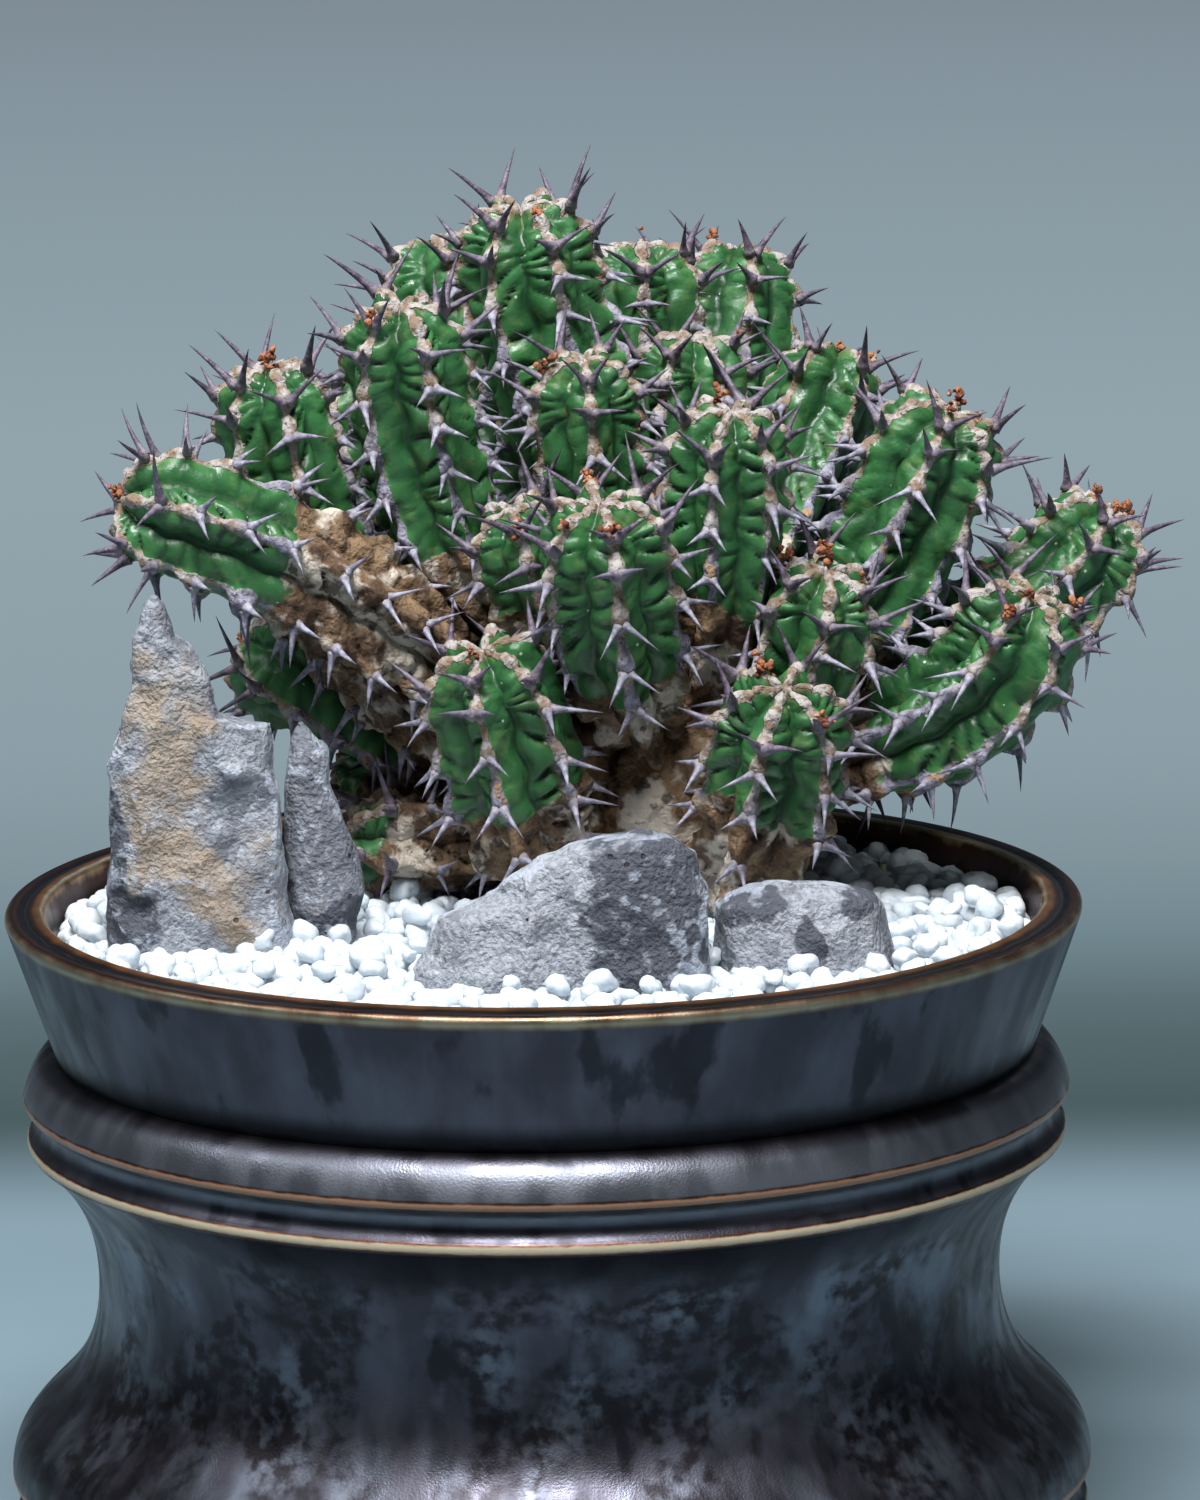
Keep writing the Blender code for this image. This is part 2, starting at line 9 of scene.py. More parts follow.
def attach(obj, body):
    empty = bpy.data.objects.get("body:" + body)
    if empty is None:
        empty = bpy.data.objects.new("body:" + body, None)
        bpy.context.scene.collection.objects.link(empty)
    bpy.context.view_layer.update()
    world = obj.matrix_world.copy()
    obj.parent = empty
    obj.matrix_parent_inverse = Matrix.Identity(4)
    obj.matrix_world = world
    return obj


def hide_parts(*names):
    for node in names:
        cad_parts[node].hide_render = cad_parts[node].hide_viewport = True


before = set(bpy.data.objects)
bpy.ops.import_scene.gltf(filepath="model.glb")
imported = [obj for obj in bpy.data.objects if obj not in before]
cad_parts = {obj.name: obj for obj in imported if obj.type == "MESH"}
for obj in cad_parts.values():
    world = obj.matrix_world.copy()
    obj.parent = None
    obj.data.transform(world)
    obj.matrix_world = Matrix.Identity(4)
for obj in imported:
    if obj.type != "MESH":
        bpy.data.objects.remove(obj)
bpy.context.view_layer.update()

mm = 0.001
dice = np.random.default_rng(11)

# points, faces and pieces


def unit(v):
    v = np.asarray(v, float)
    return v / np.maximum(np.linalg.norm(v, axis=-1, keepdims=True), 1e-12)


def smooth(low, high, value):
    t = np.clip((value - low) / (high - low), 0, 1)
    return t * t * (3 - 2 * t)


latticeSide = 48
lattice = np.random.default_rng(3).uniform(-1, 1, (latticeSide,) * 3)


def lumps(points, size, seed=0):  # soft bumps from -1 to 1, as wide as size
    p = np.asarray(points, float) / size + np.array((7.3, 3.1, 5.7)) * seed
    cell = np.floor(p).astype(int)
    f = p - cell
    f = f * f * (3 - 2 * f)
    total = np.zeros(p.shape[:-1])
    for corner in np.ndindex(2, 2, 2):
        share = np.prod([f[..., n] if corner[n] else 1 - f[..., n] for n in range(3)], axis=0)
        where = tuple((cell[..., n] + corner[n]) % latticeSide for n in range(3))
        total += share * lattice[where]
    return total


def grit(points, size, seed=0, octaves=3):  # lumps on lumps
    return sum(lumps(points, size / 2**n, seed + n) / 2**n for n in range(octaves))


def ridged(points, size, seed=0):
    return 1 - 2 * np.abs(lumps(points, size, seed))


def gridFaces(rows, columns):  # quads of rows of points that close round
    low = np.arange(rows - 1)[:, None] * columns
    here = np.arange(columns)[None]
    there = (here + 1) % columns
    return np.stack([low + here, low + there, low + columns + there, low + columns + here], -1).reshape(-1, 4)


def fanFaces(ring, hub, up):  # triangles from a closed ring to one point
    turned = np.roll(ring, -1)
    pair = (ring, turned) if up else (turned, ring)
    return np.stack([*pair, np.full(len(ring), hub)], -1)


def closedFaces(rows, columns, upward=True):  # rings from the foot up (or the top down) and two hub points
    ring, quads = np.arange(columns), gridFaces(rows, columns)
    return [quads if upward else quads[:, ::-1], fanFaces(ring, rows * columns, not upward),
            fanFaces(ring + (rows - 1) * columns, rows * columns + 1, upward)]


def turned(profile, count):  # rings of points from radii and heights
    turns = np.linspace(0, 2 * math.pi, count, endpoint=False)
    radii, heights = np.asarray(profile).T
    return np.stack([np.outer(radii, np.cos(turns)), np.outer(radii, np.sin(turns)),
                     np.repeat(heights[:, None], count, 1)], -1)


def newPiece(name, points, faces, finishes, masks=None, which=None, smoothShade=True):
    mesh = bpy.data.meshes.new(name)
    mesh.from_pydata(np.asarray(points).tolist(), [], [tuple(f) for group in faces for f in group.tolist()])
    for finish in finishes:
        mesh.materials.append(finish)
    if which is not None:
        mesh.polygons.foreach_set("material_index", np.asarray(which, np.int32))
    for key, values in (masks or {}).items():
        mesh.attributes.new(key, "FLOAT", "POINT").data.foreach_set("value", np.asarray(values, np.float32))
    mesh.polygons.foreach_set("use_smooth", np.full(len(mesh.polygons), smoothShade))
    mesh.update()
    piece = bpy.data.objects.new(name, mesh)
    bpy.context.scene.collection.objects.link(piece)
    return piece


def settle(piece, slotName, *nodes):  # rides with the plant and stands for these frame parts
    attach(piece, "root")
    if nodes:
        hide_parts(*nodes)


def ball(level):  # points and triangles of a small round start shape
    bm = bmesh.new()
    bmesh.ops.create_icosphere(bm, subdivisions=level, radius=1)
    points = np.array([v.co for v in bm.verts])
    faces = np.array([[v.index for v in f.verts] for f in bm.faces])
    bm.free()
    return points, faces


def spins(count):  # random turns, one matrix each
    q = unit(dice.normal(size=(count, 4)))
    w, x, y, z = q.T
    rows = [
        [1 - 2 * (y * y + z * z), 2 * (x * y - z * w), 2 * (x * z + y * w)],
        [2 * (x * y + z * w), 1 - 2 * (x * x + z * z), 2 * (y * z - x * w)],
        [2 * (x * z - y * w), 2 * (y * z + x * w), 1 - 2 * (x * x + y * y)],
    ]
    return np.moveaxis(np.array(rows), -1, 0)


# nodes and finishes


def put(tree, kind, values=None, **settings):
    node = tree.nodes.new(kind)
    for key, value in settings.items():
        setattr(node, key, value)
    for key, value in (values or {}).items():
        if isinstance(value, bpy.types.NodeSocket):
            tree.links.new(value, node.inputs[key])
        else:
            node.inputs[key].default_value = value
    return node


def tint(tree, mask, under, over, share=1.0):  # over covers under where the mask is, share of it at most
    if share != 1:
        mask = times(tree, mask, share)
    under, over = (c if isinstance(c, bpy.types.NodeSocket) else (*c, 1) for c in (under, over))
    return put(tree, "ShaderNodeMix", {0: mask, 6: under, 7: over}, data_type="RGBA").outputs[2]


def step(tree, value, low, high, start=0.0, end=1.0):
    values = {"Value": value, "From Min": low, "From Max": high, "To Min": start, "To Max": end}
    return put(tree, "ShaderNodeMapRange", values, interpolation_type="SMOOTHSTEP").outputs[0]


def sums(tree, how, a, b):
    return put(tree, "ShaderNodeMath", {0: a, 1: b}, operation=how).outputs[0]


def times(tree, a, b):
    return sums(tree, "MULTIPLY", a, b)


def ramp(tree, value, stops):
    node = put(tree, "ShaderNodeValToRGB", {0: value})
    for at, tone in stops[1:-1]:
        node.color_ramp.elements.new(at)
    for element, (at, tone) in zip(node.color_ramp.elements, stops):
        element.position = at
        element.color = (*tone, 1)
    return node.outputs[0]


def vectors(tree, how, values):
    return put(tree, "ShaderNodeVectorMath", values, operation=how).outputs[0]


def position(tree):
    return put(tree, "ShaderNodeTexCoord").outputs["Object"]


def noise(tree, where, seed, scale, detail):
    values = {"Vector": where, "W": seed, "Scale": scale, "Detail": detail}
    return put(tree, "ShaderNodeTexNoise", values, noise_dimensions="4D").outputs[0]


def mask(tree, name):
    return put(tree, "ShaderNodeAttribute", attribute_name=name).outputs["Fac"]


def newGroup(name, inputs):  # a shader group that gives one mask
    group = bpy.data.node_groups.new(name, "ShaderNodeTree")
    for label, value in inputs.items():
        group.interface.new_socket(label, in_out="INPUT", socket_type="NodeSocketFloat").default_value = value
    group.interface.new_socket("mask", in_out="OUTPUT", socket_type="NodeSocketFloat")
    return group, group.nodes.new("NodeGroupInput").outputs, group.nodes.new("NodeGroupOutput")


def use(tree, group, **values):
    return put(tree, "ShaderNodeGroup", values, node_tree=group).outputs[0]


def mottleGroup():  # cloudy patches
    inputs = {"scale": 100, "seed": 0, "low": 0.4, "high": 0.6, "detail": 4}
    group, given, out = newGroup("mottle", inputs)
    clouds = noise(group, position(group), given["seed"], given["scale"], given["detail"])
    group.links.new(step(group, clouds, given["low"], given["high"]), out.inputs[0])
    return group


def streakGroup():  # streaks that run down a turned pot, with no seam
    inputs = {"around": 10, "up": 10, "seed": 0, "low": 0.4, "high": 0.6, "detail": 4}
    group, given, out = newGroup("streak", inputs)
    where = position(group)
    level = vectors(group, "NORMALIZE", {0: vectors(group, "MULTIPLY", {0: where, 1: (1, 1, 0)})})
    level = vectors(group, "SCALE", {0: level, "Scale": given["around"]})
    height = vectors(group, "MULTIPLY", {0: where, 1: (0, 0, 1)})
    height = vectors(group, "SCALE", {0: height, "Scale": given["up"]})
    both = vectors(group, "ADD", {0: level, 1: height})
    lines = noise(group, both, given["seed"], 1, given["detail"])
    group.links.new(step(group, lines, given["low"], given["high"]), out.inputs[0])
    return group


def speckGroup():  # scattered round specks
    group, given, out = newGroup("specks", {"scale": 800, "size": 0.2, "share": 0.5})
    cells = put(group, "ShaderNodeTexVoronoi", {"Vector": position(group), "Scale": given["scale"]})
    pick = put(group, "ShaderNodeSeparateColor", {0: cells.outputs["Color"]}).outputs[0]
    chosen = sums(group, "LESS_THAN", pick, given["share"])
    near = step(group, sums(group, "SUBTRACT", given["size"], cells.outputs["Distance"]), 0.0, 0.08)
    group.links.new(times(group, near, chosen), out.inputs[0])
    return group


def wearGroup():  # a painted-on edge broken up where it is rubbed
    inputs = {"edge": 0, "scale": 400, "seed": 0, "rough": 0.5, "low": 0.4, "high": 0.6}
    group, given, out = newGroup("rubbed edge", inputs)
    clouds = noise(group, position(group), given["seed"], given["scale"], 4)
    shift = times(group, sums(group, "SUBTRACT", clouds, 0.5), given["rough"])
    edge = sums(group, "ADD", given["edge"], shift)
    group.links.new(step(group, edge, given["low"], given["high"]), out.inputs[0])
    return group


mottle, streak, specks, rubbed = mottleGroup(), streakGroup(), speckGroup(), wearGroup()


def newFinish(name, specular=0.5, **sockets):
    finish = bpy.data.materials.new(name)
    finish.use_nodes = True
    tree = finish.node_tree
    shader = tree.nodes["Principled BSDF"]
    shader.inputs["Specular IOR Level"].default_value = specular
    for key, value in sockets.items():
        shader.inputs[key.replace("_", " ")].default_value = value
    return finish, tree, shader


def dress(tree, shader, base, rough, height, depth):  # base colour, roughness and bump
    tree.links.new(base, shader.inputs["Base Color"])
    if isinstance(rough, bpy.types.NodeSocket):
        tree.links.new(rough, shader.inputs["Roughness"])
    else:
        shader.inputs["Roughness"].default_value = rough
    bump = put(tree, "ShaderNodeBump", {"Strength": 1.0, "Distance": depth, "Height": height})
    tree.links.new(bump.outputs[0], shader.inputs["Normal"])


studio = {
    "cameraDistance": 1.3441,  # metres from the middle of the rim
    "cameraRise": 12.0,  # degrees above level
    "cameraTurn": -0.378,  # degrees that it looks to the right of the pot's axis
    "cameraDip": 11.03,  # degrees that it looks down
    "cameraRoll": 0.81,
    "lens": 216.9,
    "keyPower": 25,
    "sidePower": 2.0,
    "fillPower": 0.5,
    "floorColour": (0.21, 0.30, 0.35),
    "floorFade": (0.205, 0.295),  # metres behind the pot's axis, where the table starts to fade and ends
    "floorHalfWidth": 1.4,
    "floorFront": -1.3,
    "glossyRoom": 0.85,  # how bright reflections see the room, the backdrop being 1
    "roomLight": 0.12,  # and how bright it is as a light
    "aim": (0.0, 0.0, 0.12),
}


def makeCamera():
    rise, dip = math.radians(studio["cameraRise"]), math.radians(studio["cameraDip"])
    camera = bpy.data.objects.new("camera", bpy.data.cameras.new("camera"))
    bpy.context.scene.collection.objects.link(camera)
    rim = Vector((0, 0, (pot["height"] - pot["lipBead"]) * mm))
    away = studio["cameraDistance"]
    camera.location = rim + Vector((0, -away * math.cos(rise), away * math.sin(rise)))
    look = Vector((0, math.cos(dip), -math.sin(dip)))
    look.rotate(Matrix.Rotation(math.radians(studio["cameraTurn"]), 3, "Z"))
    roll = Quaternion((0, 0, 1), -math.radians(studio["cameraRoll"]))
    camera.rotation_mode = "QUATERNION"
    camera.rotation_quaternion = look.to_track_quat("-Z", "Y") @ roll
    camera.data.lens = studio["lens"]
    camera.data.sensor_width = 36
    camera.data.clip_start = 0.01
    bpy.context.scene.camera = camera


def makeLight(name, where, aim, size, power, tone):
    light = bpy.data.objects.new(name, bpy.data.lights.new(name, "AREA"))
    bpy.context.scene.collection.objects.link(light)
    light.location = where
    light.rotation_euler = (Vector(aim) - Vector(where)).to_track_quat("-Z", "Y").to_euler()
    light.data.shape = "RECTANGLE"
    light.data.size, light.data.size_y = size
    light.data.energy = power
    light.data.color = tone


def makeStudio():
    middle = studio["aim"]
    makeLight("key", (-0.08, -0.44, 1.09), middle, (0.56, 0.32), studio["keyPower"], (0.98, 0.99, 1.0))
    makeLight("side", (-0.75, -0.1, 0.85), middle, (0.35, 0.35), studio["sidePower"], (0.93, 0.97, 1.0))
    makeLight("fill", (0.9, -0.7, 0.45), middle, (0.6, 0.6), studio["fillPower"], (0.86, 0.93, 1.0))
    makeLight("back", (0.4, 0.9, 0.8), middle, (0.5, 0.5), studio["fillPower"], (0.85, 0.92, 1.0))
    makeWorld()
    makeFloor()
    bpy.context.scene.view_settings.view_transform = "Standard"


def makeWorld():
    world = bpy.data.worlds.new("soft room")
    bpy.context.scene.world = world
    world.use_nodes = True
    tree = world.node_tree
    where = put(tree, "ShaderNodeTexCoord").outputs["Generated"]
    height = put(tree, "ShaderNodeSeparateXYZ", {0: where}).outputs[2]
    shade = ramp(tree, sums(tree, "ADD", height, 0.5), [
        (0.268, (0.066, 0.104, 0.112)),
        (0.2804, (0.100, 0.153, 0.168)),
        (0.288, (0.165, 0.242, 0.275)),
        (0.298, (0.226, 0.305, 0.345)),
        (0.3087, (0.265, 0.348, 0.392)),
        (0.3415, (0.288, 0.373, 0.415)),
        (0.3744, (0.246, 0.316, 0.362)),
        (0.392, (0.212, 0.262, 0.306)),
        (0.46, (0.08, 0.10, 0.115)),
        (1.0, (0.035, 0.043, 0.05)),
    ])
    tree.links.new(shade, tree.nodes["Background"].inputs["Color"])
    rays = put(tree, "ShaderNodeLightPath").outputs
    glossy = times(tree, rays["Is Glossy Ray"], studio["glossyRoom"])
    seen = sums(tree, "MAXIMUM", rays["Is Camera Ray"], glossy)
    strength = step(tree, seen, 0.0, 1.0, studio["roomLight"], 1.0)
    tree.links.new(strength, tree.nodes["Background"].inputs["Strength"])


def makeFloor():
    half, front, (fade, back) = studio["floorHalfWidth"], studio["floorFront"], studio["floorFade"]
    rows = [(-half, front, 0), (half, front, 0), (half, back, 0), (-half, back, 0)]
    finish, tree, shader = newFinish("pale table")
    backward = put(tree, "ShaderNodeSeparateXYZ", {0: position(tree)}).outputs[1]
    edge = step(tree, backward, fade, back, 1.0, 0.0)
    tree.links.new(edge, shader.inputs["Alpha"])
    pale = studio["floorColour"]
    cloud = use(tree, mottle, scale=9.0, low=0.3, high=0.7)
    base = tint(tree, cloud, pale, [c * 0.93 for c in pale])
    dress(tree, shader, base, 0.55, use(tree, mottle, scale=900.0, low=0.2, high=0.8), 0.00002)
    floor = newPiece("table", rows, [np.array([[0, 1, 2, 3]])], [finish], smoothShade=False)


pot = {  # sizes in mm
    "height": 101,
    "rimRadius": 80,
    "rimWidth": 6,
    "rimFall": 0.3,
    "lipBead": 1.1,
    "collarDepth": 21.6,
    "collarFootRadius": 73,
    "bandRadius": 78,
    "bandDrop": 6.4,
    "bandBead": 1.4,
    "bandPitch": 6.8,
    "waistRadius": 67.4,
    "waistHeight": 44.5,
    "baseBandRadius": 81,
    "baseBandHeight": 15.5,
    "footRadius": 73.5,
    "footChamfer": 2,
    "wall": 5,
    "floor": 6,
    "floorCorner": 4,
    "drainRadius": 4.5,
    "drainCircle": 30,
    "drainCount": 3,
    "segments": 288,
    "wobble": 0.12,  # how far the hand-thrown wall strays from true
    "cloudyBelow": (56, 64),  # the waist and below are cloudier, fading out between these heights
    "darkBelow": (14, 32),
    "paintedShoulderHighlight": (-11, -8, -2.5, -1),  # a painted highlight on the shoulder, from the collar's foot
    "shadeAndPoolingAtFoot": (-1.5, 0.2, 1.5, 5),  # and the painted shade at the foot itself, where dark glaze also pools
}


def roundOff(centre, radius, start, end, steps):
    turns = [math.radians(start + (end - start) * i / steps) for i in range(steps + 1)]
    return [(centre[0] + radius * math.cos(a), centre[1] + radius * math.sin(a)) for a in turns]


def sweep(a, b, c, d, steps):  # a Bezier stretch without its last point
    points = []
    for i in range(steps):
        t = i / steps
        u = 1 - t
        w = (u * u * u, 3 * u * u * t, 3 * u * t * t, t * t * t)
        points.append(tuple(sum(k * p[n] for k, p in zip(w, (a, b, c, d))) for n in (0, 1)))
    return points


def straight(a, b, steps):
    return [(a[0] + (b[0] - a[0]) * i / steps, a[1] + (b[1] - a[1]) * i / steps) for i in range(steps)]


def doubleBead(radius, height):  # soft upper bead, groove and lower bead, from the widest point down
    bead = pot["bandBead"]
    low = (radius - bead - 0.5, height - pot["bandPitch"])
    upper = roundOff((radius - 1.3, height - 0.2), 1.3, 8, -58, 6)
    start = roundOff(low, bead, 62, 62, 1)[0]
    groove = sweep(upper[-1], (radius - 2.0, height - 1.7), (radius - 2.9, height - 3.6), start, 7)[1:]
    return upper + groove + roundOff(low, bead, 62, -70, 10)


def outsideOfPot():
    lipInner = (pot["rimRadius"] - pot["rimWidth"] + pot["lipBead"], pot["height"] - pot["lipBead"])
    lipOuter = (pot["rimRadius"] - pot["lipBead"], pot["height"] - pot["rimFall"] - pot["lipBead"])
    inner = roundOff(lipInner, pot["lipBead"], 180, 62, 9)
    outer = roundOff(lipOuter, pot["lipBead"], 96, -22, 9)
    top = [(a * (1 - t) + b * t, c * (1 - t) + d * t - 0.22 * math.sin(math.pi * t)
            - 0.16 * math.exp(-(((t - 0.5) / 0.09) ** 2)))
           for (a, c), (b, d) in [(inner[-1], outer[0])] for t in np.linspace(0.12, 0.88, 9)]
    foot = pot["height"] - pot["collarDepth"]
    band = foot - pot["bandDrop"]
    footEdge = (pot["collarFootRadius"], foot)
    collar = straight(outer[-1], footEdge, 26)[1:]
    radius = pot["bandRadius"]
    shoulder = sweep(footEdge, (footEdge[0] + 2.4, foot - 0.3), (radius - 0.8, band + 3), (radius, band), 14)
    beads = doubleBead(radius, band)
    under = beads[-1]
    waist = (pot["waistRadius"], pot["waistHeight"])
    neck = under[1] - waist[1]
    pull = (waist[0], waist[1] + 0.5 * neck)
    upper = sweep(under, (under[0] - 5, under[1] - 0.2 * neck), pull, waist, 24)[1:]
    base = (pot["baseBandRadius"], pot["baseBandHeight"])
    flare = waist[1] - base[1]
    lower = sweep(waist, (waist[0], waist[1] - 0.65 * flare), (base[0], base[1] + 0.4 * flare), base, 28)
    foot = [(pot["footRadius"] + pot["footChamfer"] / 2, pot["footChamfer"]), (pot["footRadius"], 0)]
    return inner + top + outer + collar + shoulder + beads + upper + lower + doubleBead(*base) + foot


def outsideRadius(height):
    outside = outsideOfPot()[::-1]
    return float(np.interp(height, [z for _, z in outside], [r for r, _ in outside]))


def insideOfPot():
    middle = (pot["waistHeight"] + pot["baseBandHeight"]) / 2
    low = pot["floor"] + pot["floorCorner"]
    turns = (low, pot["baseBandHeight"], middle, pot["waistHeight"], pot["height"] - pot["collarDepth"])
    wall = [(outsideRadius(z) - pot["wall"], z) for z in turns]
    edge = (wall[0][0] - pot["floorCorner"], pot["floor"])
    top = (pot["rimRadius"] - pot["rimWidth"], pot["height"] - 2 * pot["lipBead"])
    corners = [edge, *wall, top]
    return [p for a, b in zip(corners, corners[1:]) for p in straight(a, b, 6)]


def insideRadius(height):
    wall = insideOfPot()
    return float(np.interp(height, [z for _, z in wall], [r for r, _ in wall]))


def wornEdges():  # where the glaze thins on edges: radius, height, reach, warmth
    rim, band = pot["rimRadius"], pot["height"] - pot["collarDepth"] - pot["bandDrop"]
    edges = [(rim, pot["height"] - pot["rimFall"] - 1.2, 0.6, 0.15)]
    for radius, height in ((pot["bandRadius"], band), (pot["baseBandRadius"], pot["baseBandHeight"])):
        edges.append((radius + 0.1, height - 0.5, 0.75, 0.8))
        edges.append((radius - 0.5, height - pot["bandPitch"] + 0.1, 0.85, 0.1))
    edges.append((pot["footRadius"] + 1, pot["footChamfer"], 0.8, 0.4))
    return edges


def drill(piece):
    for i in range(pot["drainCount"]):
        turn = 2 * math.pi * (i + 0.5) / pot["drainCount"]
        bm = bmesh.new()
        bmesh.ops.create_cone(bm, cap_ends=True, segments=48, radius1=pot["drainRadius"] * mm,
                              radius2=pot["drainRadius"] * mm, depth=pot["floor"] * 3 * mm)
        mesh = bpy.data.meshes.new("drill")
        bm.to_mesh(mesh)
        bm.free()
        tool = bpy.data.objects.new("drill", mesh)
        bpy.context.scene.collection.objects.link(tool)
        around = pot["drainCircle"] * mm
        tool.location = (around * math.cos(turn), around * math.sin(turn), pot["floor"] / 2 * mm)
        cut = piece.modifiers.new("drain", "BOOLEAN")
        cut.operation = "DIFFERENCE"
        cut.object = tool
        bpy.context.view_layer.update()
        cleared = bpy.data.meshes.new_from_object(piece.evaluated_get(bpy.context.evaluated_depsgraph_get()))
        piece.modifiers.clear()
        piece.data = cleared
        bpy.data.objects.remove(tool)


def glazeFinish():
    finish, tree, shader = newFinish("dark metallic glaze", specular=0.6)
    height = put(tree, "ShaderNodeSeparateXYZ", {0: position(tree)}).outputs[2]
    slate, ash, soot = (0.048, 0.045, 0.058), (0.092, 0.092, 0.118), (0.014, 0.014, 0.019)
    base = tint(tree, use(tree, streak, around=6.0, up=40.0, low=0.40, high=0.70, detail=5.0), slate, ash)
    drip = use(tree, streak, around=9.0, up=60.0, seed=4.0, low=0.55, high=0.63, detail=8.0)
    base = tint(tree, drip, base, soot, 0.75)
    low = step(tree, height, *[z * mm for z in pot["cloudyBelow"]], 1.0, 0.0)
    blue = use(tree, streak, around=6.0, up=70.0, seed=11.0, low=0.44, high=0.66, detail=6.0)
    base = tint(tree, times(tree, blue, low), base, (0.17, 0.19, 0.235), 0.75)
    fibre = use(tree, streak, around=26.0, up=420.0, seed=2.0, low=0.36, high=0.60, detail=10.0)
    cloud = use(tree, streak, around=5.0, up=70.0, seed=7.0, low=0.42, high=0.52, detail=6.0)
    smoke = times(tree, times(tree, fibre, cloud), low)
    base = tint(tree, smoke, base, (0.025, 0.022, 0.027))
    # darker towards the bottom, in streaks
    lowDarkening = use(tree, streak, around=30.0, up=70.0, seed=15.0, low=0.3, high=0.6, detail=6.0)
    lowDarkening = times(tree, step(tree, height, *[z * mm for z in pot["darkBelow"]], 0.9, 0.0), lowDarkening)
    base = tint(tree, lowDarkening, base, (0.0135, 0.0140, 0.018))
    foot = pot["height"] - pot["collarDepth"]
    # a painted highlight on the shoulder, then painted shade at the collar's foot where dark glaze also pools
    for key, share, tone in (("paintedShoulderHighlight", 0.7, (0.20, 0.215, 0.25)), ("shadeAndPoolingAtFoot", 0.9, (0.008, 0.007, 0.009))):
        a, b, c, d = [(foot + z) * mm for z in pot[key]]
        ring = times(tree, step(tree, height, a, b), step(tree, height, c, d, 1.0, 0.0))
        base = tint(tree, ring, base, tone, share)
    edge, warmth = mask(tree, "wear"), mask(tree, "warm")
    rust = use(tree, rubbed, edge=edge, scale=260.0, rough=0.5, low=0.18, high=0.5)
    base = tint(tree, rust, base, (0.075, 0.030, 0.018))
    amber = use(tree, rubbed, edge=edge, scale=420.0, seed=3.0, rough=0.45, low=0.42, high=0.75)
    base = tint(tree, amber, base, (0.26, 0.115, 0.06))
    cream = use(tree, rubbed, edge=edge, scale=500.0, seed=6.0, rough=0.5, low=0.5, high=0.85)
    cream = times(tree, cream, step(tree, warmth, 0.1, 0.8, 0.95, 0.1))
    base = tint(tree, cream, base, (0.42, 0.36, 0.25))
    lip = mask(tree, "lip")  # 0 at the lip's outer edge, 1 at its inner one
    jitter = use(tree, streak, around=16.0, up=60.0, seed=20.0, low=0.2, high=0.8, detail=5.0)
    across = sums(tree, "ADD", lip, times(tree, sums(tree, "SUBTRACT", jitter, 0.5), 0.08))
    band = ramp(tree, across, [
        (0.0, (0.30, 0.26, 0.18)), (0.06, (0.16, 0.085, 0.05)), (0.13, (0.038, 0.022, 0.024)),
        (0.26, (0.085, 0.036, 0.026)), (0.32, (0.020, 0.018, 0.026)), (0.46, (0.017, 0.018, 0.027)),
        (0.50, (0.055, 0.050, 0.060)), (0.54, (0.018, 0.018, 0.025)), (0.64, (0.06, 0.030, 0.020)),
        (0.72, (0.24, 0.105, 0.045)), (0.84, (0.35, 0.17, 0.075)), (0.91, (0.60, 0.52, 0.40)),
        (0.96, (0.50, 0.33, 0.17)), (1.0, (0.10, 0.04, 0.02)),
    ])
    base = tint(tree, mask(tree, "onLip"), base, band)
    base = tint(tree, mask(tree, "inside"), base, (0.040, 0.017, 0.011), 0.85)
    under = mask(tree, "bare")
    clay = tint(tree, use(tree, mottle, scale=140.0), (0.30, 0.22, 0.16), (0.20, 0.14, 0.10))
    base = tint(tree, under, base, clay)
    fine = use(tree, mottle, scale=2600.0, low=0.3, high=0.7, detail=2.0)
    cloudy = use(tree, streak, around=14.0, up=90.0, seed=9.0, low=0.3, high=0.7)
    rough = sums(tree, "ADD", step(tree, cloudy, 0.0, 1.0, 0.30, 0.46), times(tree, under, 0.45))
    dress(tree, shader, base, rough, fine, 0.000012)
    metal = sums(tree, "SUBTRACT", 0.88, times(tree, sums(tree, "MAXIMUM", amber, under), 0.85))
    tree.links.new(metal, shader.inputs["Metallic"])
    return finish


def glazeMasks(points):  # where the glaze is worn, and where the lip, the inside and the bare foot are
    radius, height = np.linalg.norm(points[:, :2], axis=1), points[:, 2]
    wear, warm = np.zeros(len(points)), np.zeros(len(points))
    for r, z, reach, warmth in wornEdges():
        near = np.exp(-((radius - r) ** 2 + (height - z) ** 2) / reach**2)
        warm = np.where(near > wear, warmth, warm)
        wear = np.maximum(wear, near)
    wall = np.interp(height, [z for _, z in insideOfPot()], [r for r, _ in insideOfPot()])
    inside = (radius < wall + 1) & (height > pot["floor"] - 0.1)
    onLip = smooth(pot["height"] - 2.4, pot["height"] - 1.9, height) * (radius > wall - 0.3)
    lip = (pot["rimRadius"] - radius) / pot["rimWidth"]
    wear = wear * (1 - 0.8 * onLip)
    inside = inside * (1 - onLip)
    return {"wear": wear, "warm": warm, "inside": inside, "bare": height < 1.2, "lip": lip, "onLip": onLip}


